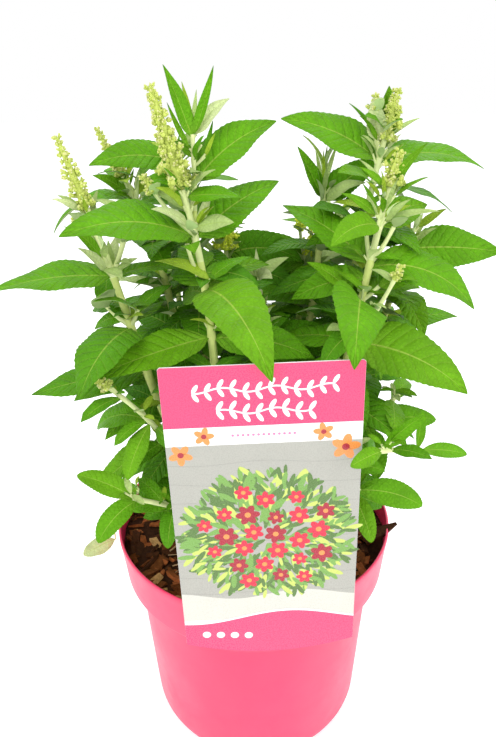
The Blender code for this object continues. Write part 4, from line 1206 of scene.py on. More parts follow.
@functools.lru_cache(maxsize=None)
def blade_template(rows, columns, soft):
    """A thin closed blade: x is the share of its length, y the share of its half width and
    z its layer. Face kinds are 0 above and on the margin and 1 below. A soft blade has its
    map moved aside, where the finish has fainter veins."""
    bm = bmesh.new()
    bmesh.ops.create_grid(bm, x_segments=rows, y_segments=len(columns) - 1, size=1.0)
    for vert in bm.verts:
        column = round((vert.co.y + 1) / 2 * (len(columns) - 1))
        vert.co = ((vert.co.x + 1) / 2, columns[column], 0.0)
    sweep = bmesh.ops.extrude_face_region(bm, geom=bm.faces[:])["geom"]
    upper = [item for item in sweep if isinstance(item, bmesh.types.BMVert)]
    bmesh.ops.translate(bm, verts=upper, vec=(0, 0, 1))
    bmesh.ops.recalc_face_normals(bm, faces=bm.faces)
    uv = bm.loops.layers.uv.new("blade")
    for face in bm.faces:
        face.material_index = 1 if face.calc_center_median().z < 0.25 else 0
        for loop in face.loops:
            loop[uv].uv = (loop.vert.co.x, 0.5 + 0.5 * loop.vert.co.y + 2 * soft)
    return Template(bm)


def lay_blade(bm, leaf, materials, rng, low):
    """One leaf's blade, folded along its midrib, a little wavy and twisted. The leaves of the
    low twigs are blunter."""
    rows, columns = (POSED_BLADE if not leaf.plain
                     else PLAIN_BLADE if leaf.length > BIG_LEAF else SMALL_BLADE)
    template = blade_template(rows, columns, low or leaf.length < SOFT_LEAF)
    share, wide, layer = template.points.T
    row = np.rint(share * rows).astype(int)
    spines = [leaf.spine(number / rows) for number in range(rows + 1)]
    middle, across, up = (np.array([spine[part] for spine in spines])[row] for part in range(3))
    twist = np.radians(rng.uniform(-BLADE_TWIST, BLADE_TWIST)) * 2 * share
    cos, sin = np.cos(twist)[:, None], np.sin(twist)[:, None]
    across, up = across * cos + up * sin, up * cos - across * sin
    upright = leaf.rise > UPRIGHT_RISE
    slim = UPRIGHT_SLIM if upright else BLADE_SLIM if leaf.plain else 1.0
    slim *= LOW_SLIM if low else 1.0
    widths = BLUNT_WIDTHS if low else BLADE_WIDTHS
    half = slim * leaf.width * leaf.length * np.interp(share, BLADE_SHARES, widths)
    if leaf.plain:
        half *= 1 + UNEVEN * np.sin(share * 61 + rng.uniform(0, 6)) * (np.abs(wide) > 0.9)
    else:
        half *= 1 + TOOTH * np.where(row % 2, 1, -1) * (np.abs(wide) > 0.9)
    aside = half * wide
    fold = BLADE_FOLD * rng.uniform(0.6, 1.5) * (UPRIGHT_FOLD if upright else 1.0)
    wave = BLADE_WAVE * half * wide ** 2 * np.sin(math.tau * (share * rng.uniform(1.4, 2.4)
                                                              + rng.random()) + wide)
    lift = fold * np.abs(aside) - BLADE_ROLL * half * wide ** 4 + wave
    rib = np.abs(wide) < 0.1
    thick = BLADE_THICKNESS * (1 - 0.5 * np.abs(wide))
    lift -= np.where(rib & (layer > 0.5), RIB_DEPTH, 0.0)
    lift -= np.where(layer < 0.5, thick + np.where(rib, RIB_KEEL * (1 - share), 0.0), 0.0)
    points = middle + across * aside[:, None] + up * lift[:, None]
    template.lay(bm, points, materials)


@functools.lru_cache(maxsize=None)
def rod_template(rings, sides):
    """A closed rod of unit radius, with z as the share of its length."""
    bm = bmesh.new()
    bmesh.ops.create_cone(bm, cap_ends=True, segments=sides, radius1=1.0, radius2=1.0,
                          depth=1.0)
    if rings > 1:
        upright = [edge for edge in bm.edges
                   if abs(edge.verts[0].co.z - edge.verts[1].co.z) > 0.5]
        bmesh.ops.subdivide_edges(bm, edges=upright, cuts=rings - 1)
    bmesh.ops.translate(bm, verts=bm.verts, vec=(0, 0, 0.5))
    return Template(bm)


def lay_rod(bm, path, start, end, radius_at, sides, spacing=3.0, relief=0.0, material=0):
    """A limb along a stretch of a path; radius_at gives its radius at a distance."""
    rings = max(1, round((end - start) / spacing))
    template = rod_template(rings, sides)
    x, y, share = template.points.T
    row = np.rint(share * rings).astype(int)
    across = Vector(FIRST_ACROSS)
    frames = []
    for ring in range(rings + 1):
        distance = start + (end - start) * ring / rings
        along = path.heading(distance)
        across = (across - along * across.dot(along)).normalized()
        frames.append((path.at(distance), across.copy(), along.cross(across),
                       radius_at(distance)))
    middle, aside, beside = (np.array([item[part] for item in frames])[row]
                             for part in range(3))
    radius = np.array([item[3] for item in frames])[row]
    points = middle + (aside * x[:, None] + beside * y[:, None]) * radius[:, None]
    if relief:
        for number, point in enumerate(points):
            bumps = noise.fractal(Vector(point) * 0.55, 0.6, 2.0, 3)
            outward = (point - middle[number]) / radius[number]
            points[number] = point + outward * bumps * relief
    template.lay(bm, points, [material])


@functools.lru_cache(maxsize=1)
def bud_template():
    bm = bmesh.new()
    bmesh.ops.create_icosphere(bm, subdivisions=1, radius=1.0)
    return Template(bm)


def lay_bud(bm, middle, along, length, radius, material):
    """One closed flower bud, a small egg that points along."""
    template = bud_template()
    across = along.orthogonal().normalized()
    beside = along.cross(across)
    x, y, z = (part[:, None] for part in template.points.T)
    points = (np.array(middle) + np.array(across) * x * radius + np.array(beside) * y * radius
              + np.array(along) * z * length / 2)
    template.lay(bm, points, [material])


# ---------------------------------------------------------------- settings

def color_setting(name, description, default):
    return FloatVectorProperty(name=name, description=description, subtype="COLOR", size=3,
                               min=0.0, max=1.0, default=default)


class PotSettings(bpy.types.PropertyGroup):
    color: color_setting("Pot pink", "Colour of the moulded pot", (0.80, 0.030, 0.115))
    roughness: FloatProperty(name="Roughness", description="How satin the plastic is",
                             default=0.36, min=0.0, max=1.0, subtype="FACTOR")
    sides: IntProperty(name="Sides", description="Steps round the pot", default=128, min=32)


class CompostSettings(bpy.types.PropertyGroup):
    soil: color_setting("Soil", "Colour of the moist compost", (0.040, 0.015, 0.006))
    chips: IntProperty(name="Bark chips", description="Number of bark chips", default=900,
                       min=0)
    straws: IntProperty(name="Straws", description="Number of pale straws", default=110, min=0)


class LabelSettings(bpy.types.PropertyGroup):
    pink: color_setting("Card pink", "Header and footer of the card", (0.68, 0.042, 0.15))
    panel: color_setting("Panel", "Pale ground behind the picture", (0.36, 0.36, 0.32))
    blossom: color_setting("Blossom", "Flowers in the picture", (0.62, 0.012, 0.045))
    leaf: color_setting("Printed leaf", "Leaves in the picture", (0.16, 0.34, 0.06))


class StemSettings(bpy.types.PropertyGroup):
    bark: color_setting("Bark", "Woody stem", (0.17, 0.11, 0.06))
    shoot: color_setting("Shoot", "Young felted shoots", (0.62, 0.70, 0.22))
    tender: color_setting("Tender", "Whitish felted twigs and tips", (0.69, 0.76, 0.36))
    relief: FloatProperty(name="Bark relief", description="Height of the bark's ridges in mm",
                          default=0.5, min=0.0)


class LeafSettings(bpy.types.PropertyGroup):
    fresh: color_setting("Fresh", "Youngest leaves", (0.36, 0.54, 0.040))
    # bright is painted light: a lighter green that stands in for light shining through the
    # leaves
    bright: color_setting("Bright", "Leaves with light through them", (0.140, 0.365, 0.008))
    middle: color_setting("Middle", "Full-grown leaves", (0.116, 0.345, 0.006))
    deep: color_setting("Deep", "Older leaves", (0.094, 0.300, 0.007))
    # dark is dealt to older leaves and, as painted shade, most of all to leaves low in the bush
    dark: color_setting("Dark", "Leaves low in the bush", (0.078, 0.262, 0.008))
    pale: color_setting("Pale", "Felted young leaves", (0.44, 0.58, 0.20))
    felt: color_setting("Felt", "Whitish leaves at the tips", (0.60, 0.70, 0.33))
    under: color_setting("Underside", "Grey-green felt below", (0.38, 0.49, 0.21))


class BudSettings(bpy.types.PropertyGroup):
    color: color_setting("Bud", "Closed flower buds", (0.52, 0.61, 0.12))
    length: FloatProperty(name="Bud length", description="Length of one bud in mm",
                          default=1.9, min=0.5)


class StageSettings(bpy.types.PropertyGroup):
    floor: color_setting("Floor", "Plain pale floor", (0.93, 0.93, 0.93))
    light: FloatProperty(name="Light", description="Strength of the main light in watts",
                         default=10.0, min=0.0)


class BushSettings(bpy.types.PropertyGroup):
    pot: PointerProperty(type=PotSettings)
    compost: PointerProperty(type=CompostSettings)
    label: PointerProperty(type=LabelSettings)
    stems: PointerProperty(type=StemSettings)
    leaves: PointerProperty(type=LeafSettings)
    buds: PointerProperty(type=BudSettings)
    stage: PointerProperty(type=StageSettings)


# ---------------------------------------------------------------- pieces

def pot_profile():
    """The pot's outer side from the underside's middle to the lip, and down its inside."""
    foot = POT_HEIGHT - COLLAR_DEPTH
    lip = (RIM_RADIUS - WALL / 2, POT_HEIGHT - WALL / 2)
    outside = [(0.0, 0.0)] + arc((BASE_RADIUS - BASE_CORNER, BASE_CORNER), BASE_CORNER,
                                 -90, 0, 10)
    wall_top = (WALL_TOP_RADIUS, foot - SHOULDER_DEPTH)
    outside += [(BASE_RADIUS + (WALL_TOP_RADIUS - BASE_RADIUS) * share,
                 BASE_CORNER + (wall_top[1] - BASE_CORNER) * share)
                for share in (0.3, 0.6, 0.97)]
    outside += [wall_top, (WALL_TOP_RADIUS + 0.7, foot - SHOULDER_DEPTH + 1.2),
                (COLLAR_FOOT_RADIUS - 0.9, foot - 1.2), (COLLAR_FOOT_RADIUS - 0.15, foot - 0.4),
                (COLLAR_FOOT_RADIUS, foot + 0.5), (COLLAR_FOOT_RADIUS + 0.5, foot + 7),
                (RIM_RADIUS - 0.4, POT_HEIGHT - 5), (RIM_RADIUS, POT_HEIGHT - 3)]
    outside += arc(lip, WALL / 2, 0, 180, 8)
    inside = [(RIM_RADIUS - WALL, POT_HEIGHT - 3),
              (COLLAR_FOOT_RADIUS - WALL, foot), (WALL_TOP_RADIUS - WALL, foot - SHOULDER_DEPTH),
              (BASE_RADIUS - WALL, BASE_CORNER), (BASE_RADIUS - BASE_CORNER * 0.6, WALL + 3),
              (BASE_RADIUS - BASE_CORNER, WALL), (0.0, WALL)]
    return outside + inside


class BUSH_OT_pot(bpy.types.Operator):
    """Turns the thin-walled pot and drills its drain holes"""
    bl_idname = "bush.pot"
    bl_label = "Pot"

    def execute(self, context):
        settings = context.scene.bush.pot
        bm = turned(pot_profile(), settings.sides)
        finish = Finish("satin_pink", settings.color, settings.roughness,
                        Specular_IOR_Level=0.5)
        cloudy = finish.noise(14.0, 3.0)
        finish.feed("Base Color", finish.ramp(cloudy, [
            (0.3, shaded(settings.color, 0.95)), (0.7, shaded(settings.color, 1.04))]))
        grain = finish.noise(2600.0, 2.0)
        smear = finish.noise(38.0, 5.0)
        finish.feed("Roughness", finish.remap(smear, 0.3, 0.7, settings.roughness - 0.05,
                                              settings.roughness + 0.09))
        finish.bump(grain, 0.12, 0.0001)
        pot = add_piece("pink_pot", bm, [finish.material], ["pot"], 38)
        self.drill(context, pot)
        return {"FINISHED"}

    def drill(self, context, pot):
        """Cut the drain holes and apply the cut."""
        group = bpy.data.collections.new("drain_cutters")
        context.scene.collection.children.link(group)
        for hole in range(DRAIN_HOLES):
            place = DRAIN_CIRCLE * direction(360 * (hole + 0.5) / DRAIN_HOLES, 0)
            cut = bmesh.new()
            bmesh.ops.create_cone(cut, cap_ends=True, segments=24, radius1=DRAIN_RADIUS,
                                  radius2=DRAIN_RADIUS, depth=4 * WALL,
                                  matrix=Matrix.Translation(place))
            group.objects.link(made_object("drain_cutter", cut, MM))
        modifier = pot.modifiers.new("Drain", "BOOLEAN")
        modifier.operation = "DIFFERENCE"
        modifier.operand_type = "COLLECTION"
        modifier.collection = group
        depsgraph = context.evaluated_depsgraph_get()
        drilled = bpy.data.meshes.new_from_object(pot.evaluated_get(depsgraph))
        pot.modifiers.clear()
        pot.data = drilled
        for cutter in group.objects[:]:
            bpy.data.objects.remove(cutter)
        bpy.data.collections.remove(group)


def compost_height(x, y):
    """How high the compost lies at a place."""
    place = Vector((x, y, 0.0))
    return (COMPOST_TOP - COMPOST_SINK + HUMPS[0] * noise.noise(place * HUMPS[1])
            + LUMPS[0] * noise.noise(place * LUMPS[1] + Vector((5, 3, 1))))


def compost_place(rng, reach):
    """A random place on the compost within reach of its middle."""
    away = reach * math.sqrt(rng.random())
    turn = rng.uniform(0, math.tau)
    return away * math.cos(turn), away * math.sin(turn)


class BUSH_OT_compost(bpy.types.Operator):
    """Fills the pot with lumpy compost, bark chips and straws"""
    bl_idname = "bush.compost"
    bl_label = "Compost"

    def execute(self, context):
        settings = context.scene.bush.compost
        rng = random.Random(SEED + 1)
        self.fill(settings)
        self.strew_chips(settings, rng)
        self.strew_straws(settings, rng)
        return {"FINISHED"}

    def fill(self, settings):
        """The lumpy compost itself."""
        foot = POT_HEIGHT - COLLAR_DEPTH
        below = [(0.0, WALL + GAP), (BASE_RADIUS - BASE_CORNER, WALL + GAP),
                 (BASE_RADIUS - WALL - GAP, BASE_CORNER + 1),
                 (WALL_TOP_RADIUS - WALL - GAP, foot - SHOULDER_DEPTH),
                 (COLLAR_FOOT_RADIUS - WALL - GAP, foot)]
        top = [(COMPOST_EDGE * (1 - ring / COMPOST_RINGS), COMPOST_TOP)
               for ring in range(COMPOST_RINGS + 1)]
        bm = turned(below + top, COMPOST_SIDES)
        for vert in bm.verts:
            if vert.co.z > COMPOST_TOP - 1:
                vert.co.z = (compost_height(vert.co.x, vert.co.y)
                             + CRUMBS[0] * noise.noise(vert.co * CRUMBS[1]))
        soil = mottled("moist_soil", settings.soil, 0.9, 260.0, 0.5, 1400.0, 0.001, 0.9,
                       Specular_IOR_Level=0.08)
        add_piece("compost_fill", bm, [soil], ["compost"], 60)

    def strew_chips(self, settings, rng):
        """Angular bark chips of four colours, most of them small."""
        chips = bmesh.new()
        bm = bmesh.new()
        bmesh.ops.create_cube(bm, size=1.0)
        bmesh.ops.subdivide_edges(bm, edges=bm.edges[:], cuts=1, use_grid_fill=True)
        slab = Template(bm)
        for _ in range(settings.chips):
            x, y = compost_place(rng, COMPOST_EDGE - 2)
            size = rng.uniform(*CHIP_SCALE) ** CHIP_SMALLNESS
            extent = np.array(CHIP_SIZE) * size * rng.uniform(*CHIP_SPREAD)
            jitter = np.array([[rng.uniform(*CHIP_JITTER) for _ in range(3)]
                               for _ in slab.points])
            points = slab.points * jitter * extent
            roll = Matrix.Rotation(rng.uniform(0, math.tau), 3, "Z")
            tilt = Matrix.Rotation(rng.gauss(0, CHIP_TILT), 3, "X")
            lean = Matrix.Rotation(rng.gauss(0, CHIP_LEAN), 3, "Y")
            points = points @ np.array(roll @ tilt @ lean).T
            lift = compost_height(x, y) + rng.uniform(*CHIP_LIFT)
            limit = min(1, COMPOST_EDGE / max(1.0, (Vector((x, y)).length + extent[0] / 2)))
            points += np.array([x * limit, y * limit, lift])
            slab.lay(chips, points, [rng.choices(range(len(BARKS)), BARK_SHARES)[0]])
        slab.lay(chips, self.leaning_chip(slab.points), [0])
        barks = [mottled(name, color, 0.82, 420.0, 0.4, 1700.0, 0.0008, 0.8,
                         Specular_IOR_Level=0.1) for name, color in BARKS]
        add_piece("bark_chips", chips, barks, (), 30)

    def strew_straws(self, settings, rng):
        """Pale straws, each centred on its place so that none reaches the pot's wall."""
        straws = bmesh.new()
        for _ in range(settings.straws):
            x, y = compost_place(rng, COMPOST_EDGE - STRAW_LENGTHS[1] * 0.7)
            length = rng.uniform(*STRAW_LENGTHS)
            along = direction(rng.uniform(0, 360), rng.uniform(*STRAW_RISE))
            start = Vector((x, y, compost_height(x, y) + rng.uniform(*STRAW_LIFT)))
            start -= Vector((along.x, along.y, 0.0)) * length / 2
            bent = direction(rng.uniform(0, 360), rng.uniform(-20, 20)) * STRAW_BEND + along
            path = Path(start, along, start + (along + bent).normalized() * length,
                        bent.normalized())
            thin = rng.uniform(*STRAW_RADIUS)
            lay_rod(straws, path, 0.0, path.length, lambda distance: thin, 5, 4.0)
        tan = mottled("pale_straw", STRAW_COLOR, 0.7, 300.0, 0.25)
        add_piece("straws", straws, [tan])

    def leaning_chip(self, points):
        """A dark splinter of bark that leans out over the rim at the right."""
        narrow = np.where(points[:, :1] > 0.1, 0.25, 1.0)
        shaped = points * np.array(RIM_CHIP_SIZE) * np.hstack(
            [np.ones_like(narrow), narrow, narrow])
        turn = Matrix.Rotation(math.radians(RIM_CHIP_TURN[0]), 3, "Z")
        tilt = Matrix.Rotation(math.radians(-RIM_CHIP_TURN[1]), 3, "Y")
        return shaped @ np.array(turn @ tilt).T + np.array(RIM_CHIP_PLACE)


class Print:
    """Flat printed shapes on the card's own plane, each a step before the one below."""

    def __init__(self):
        self.bm = bmesh.new()

    def blot(self, x, z, wide, high, ink, layer, turn=0.0, sides=18):
        """An oval blot of ink."""
        matrix = (Matrix.Translation((x, self.depth(layer), z))
                  @ Matrix.Rotation(math.radians(90), 4, "X")
                  @ Matrix.Rotation(math.radians(turn), 4, "Z")
                  @ Matrix.Diagonal((wide, high, 1.0, 1.0)))
        made = bmesh.ops.create_circle(self.bm, cap_ends=True, segments=sides, radius=1.0,
                                       matrix=matrix)
        self.ink(made["verts"], ink)

    def band(self, left, right, low, high, ink, layer, steps=24):
        """A field of ink between two wavy lines, given as functions of x."""
        made = bmesh.ops.create_grid(self.bm, x_segments=steps, y_segments=1, size=0.5)
        for vert in made["verts"]:
            x = left + (right - left) * (vert.co.x + 0.5)
            z = high(x) if vert.co.y > 0 else low(x)
            vert.co = (x, self.depth(layer), z)
        self.ink(made["verts"], ink)

    def depth(self, layer):
        return -LABEL_THICKNESS - PRINT_CLEAR - PRINT_STEP * layer

    def ink(self, verts, ink):
        for face in {face for vert in verts for face in vert.link_faces}:
            face.material_index = ink

    def leaf(self, x, z, length, turn, ink, layer, slim=0.3):
        reach = Vector((math.cos(math.radians(turn)), math.sin(math.radians(turn)))) * length / 2
        self.blot(x + reach.x, z + reach.y, length / 2, length / 2 * slim, ink, layer, turn, 10)

    def flower(self, x, z, size, petals, ink, heart, layer, turn=0.0):
        for petal in range(petals):
            angle = turn + 360 * petal / petals
            self.leaf(x, z, size, angle, ink, layer + 0.2 * (petal % 2), 0.62)
        self.blot(x, z, size * 0.26, size * 0.26, heart, layer + 0.6, sides=10)


def card_foot(x):
    half = LABEL_WIDTH / 2
    return -LABEL_FOOT_SAG * (1 - (x / half) ** 2)


INKS = ("pink", "white", "panel", "leaf", "deep_leaf", "blossom", "dark_blossom", "amber",
        "stone", "light_pink", "lime", "pale_stone")
(PINK, WHITE, PANEL, LEAF, DEEP_LEAF, BLOSSOM, DARK_BLOSSOM, AMBER, STONE,
 LIGHT_PINK, LIME, PALE_STONE) = range(len(INKS))


def print_card():
    """The card's picture: a pink head with a garland, a flowering mound and a wavy foot."""
    art = Print()
    rng = random.Random(SEED + 2)
    half = LABEL_WIDTH / 2 - PRINT_MARGIN
    top = LABEL_HEIGHT - PRINT_MARGIN
    art.band(-half, half, lambda x: HEAD_FOOT,
             lambda x: top - max(0.0, abs(x) - half + LABEL_CORNER), PINK, 0, 96)
    art.band(-half, half, lambda x: STRIP_FOOT, lambda x: HEAD_FOOT, WHITE, 0)
    art.band(-half, half, lambda x: PANEL_FOOT, lambda x: STRIP_FOOT, PANEL, 0)
    for row in range(9):
        z = 26 + 12 * row
        art.band(-half, half, lambda x: z + math.sin(x * 0.1 + row),
                 lambda x: z + 0.5 + math.sin(x * 0.1 + row), STONE, 1)
    art.band(-half, half, lambda x: PANEL_FOOT, lambda x: 36 + 2.5 * math.sin(x * 0.09),
             PALE_STONE, 1.5)
    for z, size, reach, count in GARLANDS:
        def swag(x):
            return z + math.sin(x * 0.25) * 1.3
        art.band(-reach, reach, lambda x: swag(x) - 0.45, lambda x: swag(x) + 0.45, WHITE, 1, 40)
        for number in range(count):
            x = -reach + 2 * reach * number / (count - 1)
            for turn in (58, -58):
                art.leaf(x, swag(x), size * 0.62, turn, WHITE, 2, 0.42)
    for number in range(13):
        art.blot(-15 + 30 * number / 12, 138.0, 0.75, 0.75, LIGHT_PINK, 2, sides=10)
    for x, z, size in STRIP_FLOWERS:
        art.flower(x, z, size, 5, AMBER, DARK_BLOSSOM, 3, rng.uniform(0, 72))
    for number in range(MOUND_LEAVES):
        turn = rng.uniform(0, math.tau)
        reach = math.sqrt(rng.random())
        x = 1 + 41 * reach * math.cos(turn)
        z = 75 + (40 if math.sin(turn) > 0 else 36) * reach * math.sin(turn)
        art.leaf(x, z, rng.uniform(5.5, 10.5), math.degrees(turn) + rng.uniform(-50, 50),
                 rng.choice((LEAF, LEAF, DEEP_LEAF, DEEP_LEAF, LIME)), 3 + 0.006 * number, 0.3)
    for number in range(MOUND_FLOWERS):
        turn = number * GOLDEN_TURN + 20
        reach = 7.0 * math.sqrt(number + 0.3)
        x = 1 + reach * 1.04 * math.cos(math.radians(turn))
        z = 76 + reach * math.sin(math.radians(turn))
        art.flower(x, z, rng.uniform(4.2, 6.6), 6, BLOSSOM if number % 3 else DARK_BLOSSOM,
                   AMBER, 9 + 0.05 * number, turn)

    def wave(x):
        return 19.0 + 4.0 * math.sin(x * 0.06 + 0.9)
    art.band(-half, half, card_foot, wave, PINK, 14, 40)
    art.band(-half, half, wave, lambda x: wave(x) + 1.4, WHITE, 14, 40)
    for number in range(4):
        art.blot(-36 + 8 * number, 7.0 - 0.6 * number, 2.4, 2.4, WHITE, 15)
    return art.bm


def extruded(bm, points, sweep):
    """A closed plate from an outline and the way that it is swept."""
    face = bm.faces.new([bm.verts.new(point) for point in points])
    moved = [item for item in bmesh.ops.extrude_face_region(bm, geom=[face])["geom"]
             if isinstance(item, bmesh.types.BMVert)]
    bmesh.ops.translate(bm, verts=moved, vec=sweep)
    bmesh.ops.recalc_face_normals(bm, faces=bm.faces)


def cut_card():
    """The card in its own plane, with clipped upper corners and a sagging foot."""
    half = LABEL_WIDTH / 2
    foot = [(half * (step / 8 - 1), card_foot(half * (step / 8 - 1))) for step in range(17)]
    shoulders = [(half, LABEL_HEIGHT - LABEL_CORNER), (half - LABEL_CORNER, LABEL_HEIGHT),
                 (LABEL_CORNER - half, LABEL_HEIGHT), (-half, LABEL_HEIGHT - LABEL_CORNER)]
    bm = bmesh.new()
    extruded(bm, [(x, 0.0, z) for x, z in foot + shoulders], (0, -LABEL_THICKNESS, 0))
    return bm


def add_stake(bm):
    """The stake behind the card, bent over the rim and down into the compost."""
    face = -RIM_RADIUS - STAKE_STAND_OFF
    line = [(face, STAKE_TOP), (face, STAKE_BEND), (STAKE_Y, STAKE_ENTRY), (STAKE_Y, STAKE_TIP)]
    left = LABEL_FOOT_MIDDLE[0] - STAKE_WIDTH / 2
    half = STAKE_THICKNESS / 2
    behind = [(left, y + half, z) for y, z in line]
    before = [(left, y - half, z) for y, z in line[::-1]]
    extruded(bm, before + behind, (STAKE_WIDTH, 0, 0))


class BUSH_OT_label(bpy.types.Operator):
    """Gives the card its glossy white stock and prints a generic flower design on it"""
    bl_idname = "bush.label"
    bl_label = "Picture card"

    def execute(self, context):
        settings = context.scene.bush.label
        stock = mottled("white_card", (0.86, 0.86, 0.84), 0.3, 60.0, 0.03, 1200.0, 0.00005, 0.2)
        colors = {"pink": settings.pink, "white": (0.88, 0.87, 0.86), "panel": settings.panel,
                  "leaf": settings.leaf, "deep_leaf": shaded(settings.leaf, 0.5),
                  "blossom": settings.blossom, "dark_blossom": shaded(settings.blossom, 0.55),
                  "amber": (0.75, 0.26, 0.06), "stone": shaded(settings.panel, 0.86),
                  "light_pink": (0.78, 0.20, 0.36), "lime": (0.50, 0.60, 0.12),
                  "pale_stone": shaded(settings.panel, 1.6)}
        inks = [mottled("ink_" + name, colors[name], 0.28, 90.0, 0.02, 1500.0, 0.00002, 0.1,
                        Coat_Weight=0.3) for name in INKS]
        place = (Matrix.Translation((LABEL_FOOT_MIDDLE[0], -RIM_RADIUS - CARD_STAND_OFF,
                                     LABEL_FOOT_MIDDLE[1]))
                 @ Matrix.Rotation(math.radians(LABEL_TURN), 4, "Z")
                 @ Matrix.Rotation(math.radians(-LABEL_ROLL), 4, "Y"))
        bm = cut_card()
        bmesh.ops.transform(bm, matrix=place, verts=bm.verts)
        add_stake(bm)
        add_piece("picture_card", bm, [stock], ["label_card"], 30)
        bm = print_card()
        bmesh.ops.transform(bm, matrix=place, verts=bm.verts)
        add_piece("card_print", bm, inks, (), 10)
        return {"FINISHED"}


def taper(start, end, start_radius, end_radius, nodes=()):
    """A radius that tapers from start to end and swells a little at each leaf node."""
    def radius_at(distance):
        share = (distance - start) / (end - start)
        radius = start_radius + (end_radius - start_radius) * share
        for node in nodes:
            radius += NODE_SWELL * math.exp(-((distance - node) / NODE_REACH) ** 2)
        return radius
    return radius_at


class BUSH_OT_stems(bpy.types.Operator):
    """Dresses the woody stem, the boughs and the felted green shoots"""
    bl_idname = "bush.stems"
    bl_label = "Stems"

    def execute(self, context):
        settings = context.scene.bush.stems
        masses = grown_masses()
        self.lay_crown(settings, masses)
        self.lay_shoots(settings, masses)
        return {"FINISHED"}

    def lay_crown(self, settings, masses):
        """The woody crown, rough with bark, with the stub of each shoot."""
        wood = turned([(radius, COMPOST_TOP + up) for radius, up in CROWN_PROFILE], 28)
        bmesh.ops.subdivide_edges(wood, edges=[edge for edge in wood.edges
                                               if abs(edge.verts[0].co.z
                                                      - edge.verts[1].co.z) > 2], cuts=2)
        for vert in wood.verts:
            if vert.co.z > COMPOST_TOP + 1:
                out = Vector((vert.co.x, vert.co.y, 0))
                ridges = noise.fractal(Vector((vert.co.x, vert.co.y, vert.co.z * 0.3)) * 0.5,
                                       0.7, 2.0, 3)
                vert.co += out.normalized() * ridges * settings.relief
        for mass in masses:
            radius = LOW_STUB_RADIUS if mass.low else STUB_RADIUS
            lay_rod(wood, mass.path, STUB_START, STUB_LENGTH,
                    taper(STUB_START, STUB_LENGTH, radius * STUB_FLARE, radius), 14, 1.6,
                    settings.relief * 0.6)
        bark = Finish("thin_bark", settings.bark, 0.85)
        streaks = bark.noise(420.0, 6.0)
        bark.feed("Base Color", bark.ramp(streaks, [(0.3, shaded(settings.bark, 0.55)),
                                                    (0.55, settings.bark),
                                                    (0.75, PALE_BARK_COLOR)]))
        bark.bump(streaks, 0.8, 0.0008)
        add_piece("woody_stem", wood, [bark.material], ["main_stem"], 60)

    def lay_shoots(self, settings, masses):
        """The bare boughs, and the shoots and twigs among the leaves."""
        skin = mottled("felted_shoot", settings.shoot, 0.72, 120.0, 0.16, 1600.0, 0.0003, 0.5)
        tender = mottled("tender_twig", settings.tender, 0.75, 120.0, 0.14,
                         1600.0, 0.0003, 0.5)
        boughs = bmesh.new()
        shoots = bmesh.new()
        for mass in masses:
            if not mass.low:
                lay_rod(boughs, mass.path, STUB_LENGTH - 1.0, mass.start + 0.6,
                        taper(STUB_LENGTH, mass.start, BOUGH_FOOT_RADIUS,
                              MASS_FOOT_RADIUS * STEM_FULLNESS),
                        12, 2.4, 0.22)
            for stem in mass.stems:
                self.lay_stem(shoots, stem)
        add_piece("boughs", boughs, [skin],
                  ["bough_" + mass.shoot.name for mass in masses if not mass.low], 60)
        add_piece("shoots", shoots, [skin, tender], (), 60)

    def lay_stem(self, bm, stem):
        """A shoot or twig, whose young upper part is whiter with felt."""
        radius_at = taper(stem.start, stem.end, stem.start_radius * STEM_FULLNESS,
                          stem.end_radius * STEM_FULLNESS, stem.nodes)
        young = max(stem.start, stem.end - YOUNG_STEM)
        if young > stem.start:
            lay_rod(bm, stem.path, stem.start, young, radius_at, 8, 2.6, 0.0, 0)
        lay_rod(bm, stem.path, young, stem.end, radius_at, 8, 2.6, 0.0, 1)


def shade_of(leaf, rng):
    """Deal a leaf its green by its age on the shoot, and darker low in the bush as painted
    shade.
    """
    if not leaf.plain:
        weights = POSED_SHADES
    elif leaf.age == 0.0:
        weights = TUFT_SHADES
    elif leaf.length < 22:
        weights = SMALL_SHADES
    elif leaf.age < 0.2 and leaf.length < 34:
        weights = YOUNG_SHADES
    elif leaf.age < 0.45:
        weights = UPPER_SHADES
    else:
        weights = OLDER_SHADES
    # painted shade: darker greens for the leaves low in the bush
    if leaf.root.z < DIM_TOP:
        weights = [weight * factor for weight, factor in zip(weights, DIM_SHADES)]
    return rng.choices(range(len(SHADES)), weights)[0]


class BUSH_OT_leaves(bpy.types.Operator):
    """Lays every leaf of every mass as a thin closed blade"""
    bl_idname = "bush.leaves"
    bl_label = "Leaves"

    def execute(self, context):
        settings = context.scene.bush.leaves
        greens = [blade_finish("leaf_" + name, getattr(settings, name), 0.5,
                               0.5 if name in ("pale", "felt") else 1.0) for name in SHADES]
        under = mottled("leaf_under", settings.under, 0.8, 160.0, 0.10, 1300.0, 0.0004, 0.6)
        # the paler felt below young leaves, made paler still as painted light, since their
        # undersides stand in shade
        under_pale = mottled("leaf_under_pale", shaded(settings.under, 1.42), 0.85, 160.0, 0.08,
                             1300.0, 0.0004, 0.6)
        finishes = greens + [under, under_pale]
        groups = {"leaves_left": [], "leaves_middle": [], "leaves_right": [],
                  "leaves_rear": [], "leaves_low": []}
        for mass in grown_masses():
            name = mass.shoot.name
            group = ("low" if mass.low else "rear" if name.startswith("rear")
                     else "left" if "left" in name
                     else "middle" if name in ("back_middle", "heart", "back_right")
                     else "right")
            groups["leaves_" + group].append(mass)
        for name, masses in groups.items():
            bm = bmesh.new()
            for mass in masses:
                rng = random.Random(SEED * 77 + mass.number)
                for leaf in mass.leaves:
                    shade = shade_of(leaf, rng) if leaf.shade is None else leaf.shade
                    below = UNDER_PALE if shade in (FRESH, PALE, FELT) else UNDER
                    lay_blade(bm, leaf, (shade, below), rng, mass.low)
            add_piece(name, bm, finishes, [mass.owner for mass in masses], 65)
        return {"FINISHED"}


